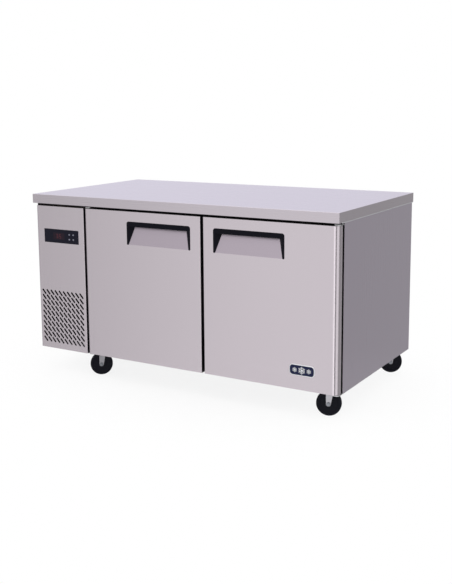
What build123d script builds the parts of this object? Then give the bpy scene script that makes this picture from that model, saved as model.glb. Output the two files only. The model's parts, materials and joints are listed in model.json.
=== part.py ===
"""Two-door undercounter refrigerator on casters, with the machine compartment on the left.

Millimetres. The origin is the centre of the footprint on the floor, +X to the right, +Y to the back, +Z up.
"""

from build123d import *
import math
import os

# ---- driving dimensions -------------------------------------------------------------------------
WIDTH = 1525.0  # worktop, left to right
DEPTH = 815.0  # worktop, front to back
HEIGHT = 825.0  # floor to worktop surface
WORKTOP_HEIGHT = 41.0
SHEET = 1.2  # stainless sheet
SIDE_INSET = 4.5  # body behind the worktop's ends
BACK_INSET = 5.0
BODY_BOTTOM = 104.0
PAN_Z = 128.0  # underside of the floor pan, where the casters bolt on
FOAM = 50.0  # wall insulation
DOOR_SETBACK = 18.0  # worktop's front edge to the door faces
DOOR_THICKNESS = 34.0
GASKET_THICKNESS = 7.5
FRAME_SETBACK = 60.0  # worktop's front edge to the face frame
FRAME_DEPTH = 8.0  # of the moulded face frame
SKIRT_DEPTH = 2.5  # the same frame below the floor pan, in front of the casters
SIDE_SETBACK = 1.5  # front edge of the right side panel behind the face frame's front
MACHINE_WIDTH = 275.0  # outside width of the machine compartment's front panel
DOOR_WIDTH = 607.0
MACHINE_GAP = 9.0  # between the machine panel and the left door
DOOR_GAP = 14.0  # between the doors
END_GAP = 4.0  # right door's edge to the cabinet's side
TOP_GAP = 13.0  # between the doors and the worktop
RIGHT_CORNER = 24.0  # rounded vertical edge on the right door's hinge side
LEFT_CORNER = 8.0  # the same edge of the left door, beside the machine panel
WHEEL_RADIUS = 51.0
WHEEL_WIDTH = 30.0
CASTER_OFFSET = 35.0  # swivel axis to wheel centre
HANDLE_WIDTH = 327.0
HANDLE_HEIGHT = 102.5
HANDLE_INSET = 49.0  # from the door's closing edge
HANDLE_TOP = 728.0
PIN_RADIUS = 5.0
RUNNING_FIT = 0.05

# ---- planes that follow from them ---------------------------------------------------------------
LEFT = -WIDTH / 2
RIGHT = WIDTH / 2
FRONT = -DEPTH / 2
BACK = DEPTH / 2
BODY_LEFT = LEFT + SIDE_INSET
BODY_RIGHT = RIGHT - SIDE_INSET
BODY_BACK = BACK - BACK_INSET
BODY_TOP = HEIGHT - WORKTOP_HEIGHT
FRAME_Y = FRONT + FRAME_SETBACK
SKIRT_BACK_Y = FRAME_Y + SKIRT_DEPTH
FRAME_BACK_Y = FRAME_Y + FRAME_DEPTH
FACE_Y = FRONT + DOOR_SETBACK
DOOR_BACK_Y = FACE_Y + DOOR_THICKNESS
DOOR_BOTTOM = BODY_BOTTOM + 1.5
DOOR_TOP = BODY_TOP - TOP_GAP
MACHINE_RIGHT = BODY_LEFT + MACHINE_WIDTH
INSIDE_LEFT = BODY_LEFT + SHEET
INSIDE_RIGHT = BODY_RIGHT - SHEET
INSIDE_BACK = BODY_BACK - SHEET
FLOOR_TOP = PAN_Z + 2.0
LEFT_DOOR_X = (MACHINE_RIGHT + MACHINE_GAP, MACHINE_RIGHT + MACHINE_GAP + DOOR_WIDTH)
RIGHT_DOOR_X = (BODY_RIGHT - END_GAP - DOOR_WIDTH, BODY_RIGHT - END_GAP)
DOORS_MIDDLE = (LEFT_DOOR_X[1] + RIGHT_DOOR_X[0]) / 2

# Cold space: the outside of the inner liner.
DIVIDER_X = MACHINE_RIGHT + 1.5
LINER_LEFT = DIVIDER_X + FOAM
LINER_RIGHT = INSIDE_RIGHT - FOAM
LINER_BACK = INSIDE_BACK - FOAM
LINER_BOTTOM = FLOOR_TOP + FOAM + 2.0
LINER_TOP = BODY_TOP - FOAM + 2.0
MULLION_X = (DOORS_MIDDLE - 25.0, DOORS_MIDDLE + 25.0)
OPENING_BOTTOM = LINER_BOTTOM + 3.0
OPENING_TOP = LINER_TOP - 3.0
SHELF_Z = 448.0

# Hinge pins stand this far in from the door's hinge edge and behind its face.
PIN_FROM_EDGE = 11.5
PIN_FROM_FACE = 17.0
HINGE_PLATE = 3.0
PLATE_CLEARANCE = 0.35  # low hinge plate to the door above it and to the wheel below it

CASTERS = {
    "front_left": (LEFT + 346.0, FRONT + 92.0, 37.0),
    "front_right": (RIGHT - 38.0, FRONT + 92.0, 17.0),
    "rear_left": (LEFT + 349.0, BACK - 48.0, 28.0),
    "rear_right": (RIGHT - 36.0, BACK - 48.0, 20.0),
}

os.makedirs("parts", exist_ok=True)


def save(name, shape):
    """Writes one sub-part as its own STEP file."""
    export_step(shape, f"parts/{name}.step")


def block(x, y, z):
    """Box between two values along each axis."""
    size = (x[1] - x[0], y[1] - y[0], z[1] - z[0])
    return Pos((x[0] + x[1]) / 2, (y[0] + y[1]) / 2, (z[0] + z[1]) / 2) * Box(*size)


def rod(start, end, radius):
    """Round bar between two points."""
    a, b = Vector(*start), Vector(*end)
    plane = Plane(origin=a, z_dir=b - a)
    return extrude(plane * Circle(radius), amount=(b - a).length)


def disc(x, y, z, radius):
    """Upright cylinder between two heights."""
    return Pos(x, y, (z[0] + z[1]) / 2) * Cylinder(radius, z[1] - z[0])


def group(parts):
    """Separate solids that share one node."""
    return Compound(children=[solid for part in parts for solid in part.solids()])


def mirror_x(shape, about):
    """Mirror image across the plane x = about."""
    return mirror(shape, Plane(origin=(about, 0, 0), z_dir=(1, 0, 0)))


# ---- worktop and casing -------------------------------------------------------------------------
def worktop():
    """Folded stainless top: a tray with its edges turned down and back under."""
    skin = block((LEFT, RIGHT), (FRONT, BACK), (BODY_TOP, HEIGHT))
    skin = fillet(skin.edges().filter_by(Axis.Z), 1.6)
    skin = fillet(skin.faces().sort_by(Axis.Z)[-1].edges(), 1.4)
    skin = fillet(skin.faces().sort_by(Axis.Z)[0].edges(), 1.2)
    skin -= worktop_core()
    under, front_under = 22.0, FRAME_SETBACK + 3.0
    opening = block((LEFT + under, RIGHT - under), (FRONT + front_under, BACK - under), (BODY_TOP, HEIGHT - 20))
    return skin - opening


def worktop_core():
    """Board and foam that stiffen the worktop."""
    wall = 1.6
    return block(
        (LEFT + wall, RIGHT - wall), (FRONT + wall, BACK - wall), (BODY_TOP + wall, HEIGHT - wall)
    )


def side_panel(outer_x, inward, front_y):
    """Outer side sheet with a folded strip along its back edge."""
    z = (BODY_BOTTOM, BODY_TOP)
    sheet = block(sorted((outer_x, outer_x + inward * SHEET)), (front_y, BODY_BACK), z)
    hem = block(sorted((outer_x, outer_x + inward * 12.0)), (BODY_BACK, BODY_BACK + SHEET), z)
    return sheet + hem


GRILLE_X = (BODY_LEFT + 40.0, MACHINE_RIGHT - 30.0)
GRILLE_Z = (220.0, 560.0)
GLAND_X = BODY_LEFT + 70.0
GLAND_Z = 165.0
GLAND_BORE = 5.0


def back_panel():
    """Back sheet, open behind the condenser and drilled for the supply lead."""
    sheet = block((INSIDE_LEFT, INSIDE_RIGHT), (INSIDE_BACK, BODY_BACK), (BODY_BOTTOM, BODY_TOP))
    vent = block(GRILLE_X, (INSIDE_BACK - 1, BODY_BACK + 1), GRILLE_Z)
    gland_hole = rod((GLAND_X, INSIDE_BACK - 1, GLAND_Z), (GLAND_X, BODY_BACK + 1, GLAND_Z), 8.0)
    return sheet - vent - gland_hole


def rear_grille():
    """Louvred plate over the vent in the back panel."""
    margin = 10.0
    x = (GRILLE_X[0] - margin, GRILLE_X[1] + margin)
    plate = block(x, (BODY_BACK, BODY_BACK + 1.5), (GRILLE_Z[0] - margin, GRILLE_Z[1] + margin))
    rows = 14
    pitch = (GRILLE_Z[1] - GRILLE_Z[0] - 20.0) / rows
    width = (GRILLE_X[1] - GRILLE_X[0]) / 2 - 18.0
    middle = (GRILLE_X[0] + GRILLE_X[1]) / 2
    for row in range(rows):
        height = GRILLE_Z[0] + 10.0 + pitch * (row + 0.5)
        for side in (-1, 1):
            slot = Pos(middle + side * (width / 2 + 6.0), BODY_BACK + 0.75, height)
            plate -= slot * Box(width, 4.0, 9.0)
    return plate


def cable_gland():
    """Round grommet in the back panel, for the supply lead."""
    y = BODY_BACK
    body = rod((GLAND_X, y - 9.0, GLAND_Z), (GLAND_X, y + 3.0, GLAND_Z), 7.9)
    body += rod((GLAND_X, y, GLAND_Z), (GLAND_X, y + 3.0, GLAND_Z), 12.0)
    body += rod((GLAND_X, y - 9.0, GLAND_Z), (GLAND_X, y - 1.4, GLAND_Z), 11.0)
    return body - rod((GLAND_X, y - 20.0, GLAND_Z), (GLAND_X, y + 20.0, GLAND_Z), GLAND_BORE)


def base_frame():
    """Floor pan, machine compartment sill and the sheet that divides off the machine compartment."""
    pan = block((INSIDE_LEFT, INSIDE_RIGHT), (FRAME_Y, INSIDE_BACK), (PAN_Z, FLOOR_TOP))
    pan -= block((DIVIDER_X, INSIDE_RIGHT), (FRAME_Y, FRAME_BACK_Y), (PAN_Z, FLOOR_TOP))
    sill = block((INSIDE_LEFT, DIVIDER_X), (FRAME_Y, SKIRT_BACK_Y), (BODY_BOTTOM, PAN_Z))
    divider = block((DIVIDER_X, DIVIDER_X + SHEET), (FRAME_BACK_Y, INSIDE_BACK), (FLOOR_TOP, BODY_TOP))
    return group([pan, sill, divider])


def door_openings():
    """The two openings in the face frame, as (x, z) ranges."""
    left = (LINER_LEFT + 3.0, MULLION_X[0])
    right = (MULLION_X[1], LINER_RIGHT - 3.0)
    return [(left, (OPENING_BOTTOM, OPENING_TOP)), (right, (OPENING_BOTTOM, OPENING_TOP))]


def front_frame():
    """Black face frame that the doors close against, with its skirt, side return and centre mullion."""
    across = (DIVIDER_X, INSIDE_RIGHT)
    frame = block(across, (FRAME_Y, FRAME_BACK_Y), (PAN_Z, BODY_TOP))
    frame += block(across, (FRAME_Y, SKIRT_BACK_Y), (BODY_BOTTOM, PAN_Z))
    frame += block((INSIDE_RIGHT - 1.8, INSIDE_RIGHT), (FRAME_Y, FRAME_BACK_Y), (BODY_BOTTOM, PAN_Z))
    for x, z in door_openings():
        frame -= block(x, (FRAME_Y - 1, FRAME_BACK_Y + 1), z)
    inner_z = (LINER_BOTTOM + SHEET, LINER_TOP - SHEET)
    return frame + block(MULLION_X, (FRAME_BACK_Y, FRAME_BACK_Y + 32.0), inner_z)


def insulation():
    """Foamed walls around the cold space, one slab each."""
    depth = (FRAME_BACK_Y, INSIDE_BACK)
    sides = (LINER_BOTTOM, LINER_TOP)
    left = DIVIDER_X + SHEET
    return group(
        [
            block((left, INSIDE_RIGHT), depth, (FLOOR_TOP, LINER_BOTTOM)),
            block((left, INSIDE_RIGHT), depth, (LINER_TOP, BODY_TOP)),
            block((left, LINER_LEFT), depth, sides),
            block((LINER_RIGHT, INSIDE_RIGHT), depth, sides),
            block((LINER_LEFT, LINER_RIGHT), (LINER_BACK, INSIDE_BACK), sides),
        ]
    )


def inner_liner():
    """One-piece inner box with rounded inside corners, open at the front."""
    outside = block((LINER_LEFT, LINER_RIGHT), (FRAME_BACK_Y, LINER_BACK), (LINER_BOTTOM, LINER_TOP))
    hollow = block(
        (LINER_LEFT + SHEET, LINER_RIGHT - SHEET),
        (FRAME_BACK_Y - 20.0, LINER_BACK - SHEET),
        (LINER_BOTTOM + SHEET, LINER_TOP - SHEET),
    )
    hollow = fillet(hollow.faces().sort_by(Axis.Y)[-1].edges(), 10.0)
    return outside - hollow


# ---- shelves ------------------------------------------------------------------------------------
PILASTER_DEPTH = 4.0
PILASTER_WIDTH = 16.0
SHELF_FRONT = FRAME_BACK_Y + 42.0
SHELF_BACK = LINER_BACK - SHEET - PILASTER_DEPTH - 3.0
SHELF_WIRE = 1.6
SHELF_ROD = 3.0


def pilaster(x, y, facing):
    """Slotted upright with its face along +X, -X, +Y or -Y."""
    low, high = LINER_BOTTOM + 22.0, LINER_TOP - 22.0
    strip = Pos(0, 0, (low + high) / 2) * Box(PILASTER_WIDTH, PILASTER_DEPTH, high - low)
    pitch = 25.0
    for step in range(int((high - low) // pitch)):
        strip -= Pos(0, 0, low + pitch * (step + 0.5)) * Box(7.0, PILASTER_DEPTH * 2, 4.0)
    return Pos(x, y, 0) * Rot(0, 0, facing) * strip


def shelf_clip(x, y, facing):
    """Hooked clip that a shelf corner rests on."""
    top = SHELF_Z - SHELF_ROD
    lip = Pos(0, -9.0 - PILASTER_DEPTH / 2, top - 1.0) * Box(12.0, 18.0, 2.0)
    web = Pos(0, -1.0 - PILASTER_DEPTH / 2, top - 9.0) * Box(12.0, 2.0, 14.0)
    return Pos(x, y, 0) * Rot(0, 0, facing) * (lip + web)


def shelf_supports():
    """Uprights on the walls and the mullion, with the clips that carry the two shelves."""
    half = PILASTER_DEPTH / 2
    left = LINER_LEFT + SHEET + half
    right = LINER_RIGHT - SHEET - half
    rear = LINER_BACK - SHEET - half
    middle = (MULLION_X[0] + MULLION_X[1]) / 2
    front_y, rear_y = SHELF_FRONT + 60.0, SHELF_BACK - 60.0
    posts = [(left, front_y, 90), (left, rear_y, 90), (right, front_y, -90), (right, rear_y, -90)]
    posts += [(middle + side * 17.0, rear, 0) for side in (-1, 1)]
    posts += [(middle + side * 17.0, FRAME_BACK_Y + 32.0 + half, 180) for side in (-1, 1)]
    parts = []
    for x, y, facing in posts:
        parts.append(pilaster(x, y, facing))
        parts.append(shelf_clip(x, y, facing))
    return group(parts)


def wire_shelf(x):
    """Coated wire shelf: a round-bar rim, two cross bars and wires from front to back."""
    y = (SHELF_FRONT, SHELF_BACK)
    x0, x1 = x[0] + SHELF_ROD, x[1] - SHELF_ROD
    y0, y1 = y[0] + SHELF_ROD, y[1] - SHELF_ROD
    z = SHELF_Z
    corner = 14.0
    rim_plan = Plane(origin=((x0 + x1) / 2, (y0 + y1) / 2, z)) * RectangleRounded(x1 - x0, y1 - y0, corner)
    rim_path = rim_plan.faces()[0].outer_wire()
    section = Plane(origin=rim_path @ 0, z_dir=rim_path % 0) * Circle(SHELF_ROD)
    bars = [sweep(section, path=rim_path)]
    for share in (1 / 3, 2 / 3):
        middle = y0 + (y1 - y0) * share
        bars.append(rod((x0, middle, z - 0.2), (x1, middle, z - 0.2), SHELF_ROD - 0.4))
    count = round((x1 - x0) / 27.0)
    for index in range(1, count):
        wire_x = x0 + (x1 - x0) * index / count
        height = z + SHELF_ROD + SHELF_WIRE - 0.8
        bars.append(rod((wire_x, y0 - 1.3, height), (wire_x, y1 + 1.3, height), SHELF_WIRE))
    shelf = bars[0]
    return shelf.fuse(*bars[1:])


# ---- evaporator, on the cold side of the machine compartment wall -------------------------------
EVAPORATOR_X = (LINER_LEFT + SHEET, LINER_LEFT + SHEET + 82.0)
EVAPORATOR_Y = (FRONT + 190.0, FRONT + 650.0)
EVAPORATOR_Z = (482.0, LINER_TOP - SHEET)
EVAPORATOR_FAN = ((EVAPORATOR_Y[0] + EVAPORATOR_Y[1]) / 2, 610.0)
EVAPORATOR_FAN_RADIUS = 74.0


def evaporator_cover():
    """Sheet cover with a ringed fan outlet on its face and return slots along its bottom."""
    x, y, z = EVAPORATOR_X, EVAPORATOR_Y, EVAPORATOR_Z
    cover = block(x, y, z)
    cover -= block((x[0] - 1, x[1] - 1.5), (y[0] + 1.5, y[1] - 1.5), (z[0] + 1.5, z[1] - 1.5))
    centre = EVAPORATOR_FAN
    face = (x[1] - 3.0, x[1] + 1.0)
    cover -= rod((face[0], *centre), (face[1], *centre), EVAPORATOR_FAN_RADIUS + 4.0)
    for ring in range(1, 6):
        radius = 14.0 * ring
        guard = rod((x[1] - 1.5, *centre), (x[1], *centre), radius + 1.0)
        cover += guard - rod((x[1] - 4, *centre), (x[1] + 4, *centre), radius - 1.0)
    reach = EVAPORATOR_FAN_RADIUS + 6.0
    bar = (x[1] - 1.5, x[1])
    cover += block(bar, (centre[0] - reach, centre[0] + reach), (centre[1] - 1.5, centre[1] + 1.5))
    cover += block(bar, (centre[0] - 1.5, centre[0] + 1.5), (centre[1] - reach, centre[1] + reach))
    slots = 12
    for index in range(slots):
        middle = y[0] + (y[1] - y[0]) * (index + 0.5) / slots
        cover -= block((x[0] + 14.0, x[1] - 14.0), (middle - 10.0, middle + 10.0), (z[0] - 1, z[0] + 3))
    return cover


def finned_coil(x, y, z, fins, across):
    """Heat exchanger: upright fins between a top and a bottom plate, with tubes running through them."""
    coil = block(x, y, z)
    plate = 3.0
    low, high = (x if across == "x" else y)
    pitch = (high - low - 2.0) / fins
    for fin in range(fins):
        start = low + 2.0 + pitch * fin
        stretch = (start, start + pitch - 2.0)
        if across == "x":
            coil -= block(stretch, (y[0] - 1, y[1] + 1), (z[0] + plate, z[1] - plate))
        else:
            coil -= block((x[0] - 1, x[1] + 1), stretch, (z[0] + plate, z[1] - plate))
    middle = (x[0] + x[1]) / 2 if across == "y" else (y[0] + y[1]) / 2
    rows = round((z[1] - z[0]) / 50.0)
    for row in range(rows):
        height = z[0] + (z[1] - z[0]) * (row + 0.5) / rows
        if across == "x":
            coil += rod((low, middle, height), (high, middle, height), 4.5)
        else:
            coil += rod((middle, low, height), (middle, high, height), 4.5)
    return coil


def evaporator_coil():
    """Finned coil behind the fan."""
    x = (EVAPORATOR_X[0] + 2.0, EVAPORATOR_X[0] + 30.0)
    y = (EVAPORATOR_Y[0] + 30.0, EVAPORATOR_Y[1] - 30.0)
    return finned_coil(x, y, (EVAPORATOR_Z[0] + 20.0, EVAPORATOR_Z[1] - 20.0), 24, "y")


def fan_rotor(blade_radius, hub_radius, thickness, blades):
    """Axial fan about +Z: a hub with twisted blades and a blind shaft bore below."""
    rotor = Cylinder(hub_radius, thickness)
    blade = Pos((blade_radius + hub_radius) / 2 - 1.0, 0, 0) * Rot(28, 0, 0)
    blade *= Box(blade_radius - hub_radius + 2.0, hub_radius * 1.5, 1.6)
    for index in range(blades):
        rotor += Rot(0, 0, 360.0 / blades * index) * blade
    return rotor & Cylinder(blade_radius, thickness * 3)


MOTOR_SHAFT = 3.0


def fan_motor(length, radius, shaft_length):
    """Motor can about +Z with its shaft pointing up from z = 0."""
    return Pos(0, 0, -length / 2) * Cylinder(radius, length) + Pos(0, 0, shaft_length / 2) * Cylinder(
        MOTOR_SHAFT, shaft_length
    )


def facing(x, y, z, yaw):
    """Places a shape made about +Z so that +Z points horizontally along yaw degrees from +X."""
    return Pos(x, y, z) * Rot(0, 0, yaw) * Rot(0, 90, 0)


EVAPORATOR_ROTOR_X = EVAPORATOR_X[1] - 17.0
CONDENSER_FAN_Z = 265.0
CONDENSER_FAN_RADIUS = 92.0
MACHINE_MIDDLE = (INSIDE_LEFT + DIVIDER_X) / 2
CONDENSER_Y = (FRONT + 84.0, FRONT + 134.0)
SHROUD_Y = (CONDENSER_Y[1], CONDENSER_Y[1] + 26.0)
CONDENSER_ROTOR_Y = SHROUD_Y[1] + 22.0


def evaporator_rotor():
    """Fan that blows cold air across the cabinet."""
    rotor = fan_rotor(EVAPORATOR_FAN_RADIUS - 4.0, 18.0, 12.0, 5)
    rotor -= Pos(0, 0, -4.0) * Cylinder(MOTOR_SHAFT + RUNNING_FIT, 12.0)
    return facing(EVAPORATOR_ROTOR_X, *EVAPORATOR_FAN, 0) * rotor


def evaporator_motor():
    """Small motor between the coil and the fan."""
    motor = fan_motor(22.0, 20.0, 8.0)
    return facing(EVAPORATOR_ROTOR_X - 8.0, *EVAPORATOR_FAN, 0) * motor


# ---- machine compartment ------------------------------------------------------------------------
def condenser_coil():
    """Air-cooled condenser right behind the slotted front panel."""
    x = (INSIDE_LEFT + 14.0, DIVIDER_X - 14.0)
    return finned_coil(x, CONDENSER_Y, (FLOOR_TOP, 392.0), 30, "x")


def condenser_shroud():
    """Fan shroud on the condenser's back, with four arms that hold the motor."""
    x = (INSIDE_LEFT + 14.0, DIVIDER_X - 14.0)
    y, z = SHROUD_Y, (FLOOR_TOP, 392.0)
    centre = (MACHINE_MIDDLE, CONDENSER_FAN_Z)
    shroud = block(x, y, z) - block(
        (x[0] + 1.5, x[1] - 1.5), (y[0] - 1, y[1] - 1.5), (z[0] + 1.5, z[1] - 1.5)
    )
    hole = rod((centre[0], y[0] - 1, centre[1]), (centre[0], y[1] + 1, centre[1]), CONDENSER_FAN_RADIUS + 4)
    shroud -= hole
    reach = CONDENSER_FAN_RADIUS + 12.0
    arm_y = (CONDENSER_ROTOR_Y + 26.0, CONDENSER_ROTOR_Y + 29.0)
    arms = block((centre[0] - 6, centre[0] + 6), arm_y, (centre[1] - reach, centre[1] + reach))
    for side in (-1, 1):
        post_z = sorted((centre[1] + side * reach, centre[1] + side * (reach - 6.0)))
        arms += block((centre[0] - 6, centre[0] + 6), (y[1] - 1.5, arm_y[1]), post_z)
    arms -= rod((centre[0], arm_y[0] - 1, centre[1]), (centre[0], arm_y[1] + 1, centre[1]), 29.0)
    return shroud + arms


def condenser_rotor():
    """Fan that draws air in through the front slots and the condenser."""
    rotor = fan_rotor(CONDENSER_FAN_RADIUS - 2.0, 24.0, 16.0, 5)
    rotor -= Pos(0, 0, -5.0) * Cylinder(MOTOR_SHAFT + RUNNING_FIT, 16.0)
    return facing(MACHINE_MIDDLE, CONDENSER_ROTOR_Y, CONDENSER_FAN_Z, -90) * rotor


def condenser_motor():
    """Condenser fan motor, held by the shroud's arms."""
    motor = fan_motor(62.0, 29.0, 10.0)
    return facing(MACHINE_MIDDLE, CONDENSER_ROTOR_Y + 12.0, CONDENSER_FAN_Z, -90) * motor


COMPRESSOR_Y = FRONT + 420.0
COMPRESSOR_X = MACHINE_MIDDLE + 10.0
PORT_Z = 228.0


def compressor():
    """Hermetic compressor: domed can with its pump inside, on a foot plate with four rubber mounts."""
    x, y = COMPRESSOR_X, COMPRESSOR_Y
    radius, shell = 80.0, 4.0
    low, high = FLOOR_TOP + 20.0, FLOOR_TOP + 178.0
    can = fillet(disc(x, y, (low, high), radius).edges(), 30.0)
    can -= fillet(disc(x, y, (low + shell, high - shell), radius - shell).edges(), 30.0 - shell)
    can += disc(x, y, (low + 1.0, low + 96.0), 44.0)
    seam = disc(x, y, (FLOOR_TOP + 96.0, FLOOR_TOP + 101.0), radius + 4.0)
    plate = block((x - 92, x + 92), (y - 62, y + 62), (FLOOR_TOP + 12.0, FLOOR_TOP + 24.0))
    mounts = [
        disc(x + sx * 78, y + sy * 48, (FLOOR_TOP, FLOOR_TOP + 13.0), 11.0)
        for sx in (-1, 1)
        for sy in (-1, 1)
    ]
    terminal = block((x - 116, x - 70), (y - 28, y + 28), (FLOOR_TOP + 60.0, FLOOR_TOP + 120.0))
    body = can + (seam - disc(x, y, (low, high), radius - 1.0))
    body += plate - disc(x, y, (low + 3.0, high), 50.0)
    body += terminal - disc(x, y, (low, high), radius - 2.0)
    for mount in mounts:
        body += mount
    return body


def pipe(points, radius, bend):
    """Tube along straight runs joined by equal bends."""
    path = FilletPolyline(*points, radius=bend)
    start = Plane(origin=path @ 0, z_dir=path % 0)
    return sweep(start * Circle(radius), path=path)


def refrigerant_lines():
    """Discharge, liquid and suction tubes, and the filter drier in the liquid line."""
    x, y = COMPRESSOR_X, COMPRESSOR_Y
    wall = DIVIDER_X
    coil_x = DIVIDER_X - 30.0
    rear = y - 130.0
    lines = [
        pipe([(x + 40, y - 69.5, PORT_Z), (x + 40, rear, PORT_Z), (x + 40, rear, 424),
              (coil_x, rear, 424), (coil_x, CONDENSER_Y[1] - 8, 424), (coil_x, CONDENSER_Y[1] - 8, 392)],
             3.0, 9.0),
        pipe([(x + 40, y + 69.5, PORT_Z), (x + 40, y + 130, PORT_Z), (x + 40, y + 130, 560),
              (x + 40, y - 20, 560), (wall, y - 20, 560)], 5.0, 14.0),
        pipe([(x, y + 150, 300), (x, y + 150, 590), (x, y - 60, 590), (wall, y - 60, 590)], 3.0, 9.0),
        disc(x, y + 150, (200, 300), 12.0),
    ]
    can = compressor()
    return group([line - can for line in lines])


def electrical_box():
    """Control box behind the display, with a folded lid."""
    x = (INSIDE_LEFT + 30.0, DIVIDER_X - 30.0)
    y = (FRONT + 130.0, FRONT + 215.0)
    box = fillet(block(x, y, (470.0, 640.0)).edges().filter_by(Axis.Y), 4.0)
    box -= block((x[0] + SHEET, x[1] - SHEET), (y[0] + SHEET, y[1] + 1), (470.0 + SHEET, 640.0 - SHEET))
    lid = block((x[0] - 3, x[1] + 3), (y[1], y[1] + 4.0), (467.0, 643.0))
    shelf = block((INSIDE_LEFT, DIVIDER_X), (y[0], y[1] + 4.0), (464.0, 467.0))
    return box + lid + shelf + block((x[0], x[1]), y, (467.0, 470.0))


TRAY_Y = (FRONT + 590.0, FRONT + 770.0)
TRAY_X = (INSIDE_LEFT + 24.0, DIVIDER_X - 24.0)
TRAY_Z = (FLOOR_TOP, FLOOR_TOP + 42.0)


def drip_tray():
    """Open tray at the back where the defrost water evaporates."""
    tray = fillet(block(TRAY_X, TRAY_Y, TRAY_Z).edges().filter_by(Axis.Z), 12.0)
    wall = 2.5
    hollow = block(
        (TRAY_X[0] + wall, TRAY_X[1] - wall), (TRAY_Y[0] + wall, TRAY_Y[1] - wall), (TRAY_Z[0] + wall, TRAY_Z[1] + 1)
    )
    return tray - fillet(hollow.edges().filter_by(Axis.Z), 9.5)


# ---- machine compartment front ------------------------------------------------------------------
DISPLAY_X = (BODY_LEFT + 44.5, BODY_LEFT + 243.5)
DISPLAY_Z = (604.0, 667.0)
SLOT_PITCH = (24.5, 25.0)  # across and down
SLOT_COUNT = 10
SLOT_RUN = 15.0
SLOT_DROP = 16.5
SLOT_WIDTH = 8.8
SLOT_FIRST = (BODY_LEFT + 22.0, 377.0)
PANEL_LIP = 9.0  # depth of the panel's rounded front corner


def slotted_panel():
    """Removable front panel: a shallow tray with ten rows of ten slanted air slots."""
    x, z = (BODY_LEFT, MACHINE_RIGHT), (BODY_BOTTOM, DOOR_TOP)
    flange = x[0] + SHEET + 0.3
    panel = block(x, (FACE_Y, FACE_Y + PANEL_LIP), z)
    panel = fillet(panel.faces().sort_by(Axis.Y)[0].edges().filter_by(Axis.Z).sort_by(Axis.X)[0], 8.0)
    panel = fillet(panel.faces().sort_by(Axis.Y)[0].edges().filter_by(Axis.Z).sort_by(Axis.X)[-1], 2.0)
    panel += block((flange, x[1]), (FACE_Y + PANEL_LIP, FRAME_Y), z)
    inner_x = (flange + SHEET, x[1] - SHEET - 1.0)
    panel -= block(inner_x, (FACE_Y + PANEL_LIP - 1.0, FRAME_Y + 1), (z[0] + SHEET, z[1] - SHEET))
    panel -= block((x[0] + 8.5, inner_x[1]), (FACE_Y + SHEET, FRAME_Y - 1), (z[0] + SHEET, z[1] - SHEET))
    panel -= block((x[1] - 1.0, x[1] + 1), (FACE_Y + 4.0, FRAME_Y + 1), (z[0] - 1, z[1] + 1))
    panel -= block(DISPLAY_X, (FACE_Y - 1, FACE_Y + 3), DISPLAY_Z)
    length = math.hypot(SLOT_RUN, SLOT_DROP)
    tilt = math.degrees(math.atan2(-SLOT_DROP, SLOT_RUN))
    slots = Sketch() + [
        Pos(
            SLOT_FIRST[0] + SLOT_PITCH[0] * column + SLOT_RUN / 2,
            SLOT_FIRST[1] - SLOT_PITCH[1] * row - SLOT_DROP / 2,
        )
        * Rot(0, 0, tilt)
        * SlotOverall(length + SLOT_WIDTH, SLOT_WIDTH)
        for row in range(SLOT_COUNT)
        for column in range(SLOT_COUNT)
    ]
    front = Plane(origin=(0, FACE_Y - 1, 0), x_dir=(1, 0, 0), z_dir=(0, -1, 0))
    return panel - extrude(front * slots, amount=-4.0)


def panel_edge_strip():
    """Black strip down the machine panel's closing edge, opposite the left door."""
    return block((MACHINE_RIGHT - 1.0, MACHINE_RIGHT), (FACE_Y + 4.0, FRAME_Y), (BODY_BOTTOM, DOOR_TOP))


KEY_SIZE = (8.0, 7.0)
KEY_TRAVEL = 0.8
KEY_COLUMNS = (DISPLAY_X[0] + 147.0, DISPLAY_X[0] + 170.0)
KEY_ROWS = (DISPLAY_Z[0] + 20.0, DISPLAY_Z[0] + 42.0)
KEYS = {
    "key_set": (KEY_COLUMNS[0], KEY_ROWS[0]),
    "key_down": (KEY_COLUMNS[1], KEY_ROWS[0]),
    "key_defrost": (KEY_COLUMNS[0], KEY_ROWS[1]),
    "key_up": (KEY_COLUMNS[1], KEY_ROWS[1]),
}
KEY_CLEARANCE = 0.35
READOUT_X = (DISPLAY_X[0] + 52.0, DISPLAY_X[0] + 118.0)
READOUT_Z = (DISPLAY_Z[0] + 16.0, DISPLAY_Z[0] + 47.0)


def controller_bezel():
    """Black controller front with a window for the read-out and four holes for its keys."""
    x, z = DISPLAY_X, DISPLAY_Z
    bezel = block((x[0] + 0.2, x[1] - 0.2), (FACE_Y - 1.0, FACE_Y + 1.5), (z[0] + 0.2, z[1] - 0.2))
    bezel += block((x[0] - 3, x[1] + 3), (FACE_Y + SHEET, FACE_Y + 3.0), (z[0] - 3, z[1] + 3))
    body = block((x[0] + 30, x[1] - 16), (FACE_Y + 3.0, FACE_Y + 58.0), (z[0] + 8, z[1] - 8))
    bezel += body
    bezel -= block(READOUT_X, (FACE_Y - 2, FACE_Y + 0.5), READOUT_Z)
    for key_x, key_z in KEYS.values():
        width, height = KEY_SIZE[0] + 2 * KEY_CLEARANCE, KEY_SIZE[1] + 2 * KEY_CLEARANCE
        bezel -= Pos(key_x, FACE_Y + 1.0, key_z) * Box(width, 6.0, height)
    return bezel


def controller_window():
    """Tinted read-out window."""
    return block(
        (READOUT_X[0] + 0.1, READOUT_X[1] - 0.1),
        (FACE_Y - 0.8, FACE_Y + 0.5),
        (READOUT_Z[0] + 0.1, READOUT_Z[1] - 0.1),
    )


def controller_key(x, z):
    """Push key that travels into the controller."""
    key = Pos(x, FACE_Y + 0.1, z) * Box(KEY_SIZE[0], 3.4, KEY_SIZE[1])
    return fillet(key.faces().sort_by(Axis.Y)[0].edges(), 0.5)


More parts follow.
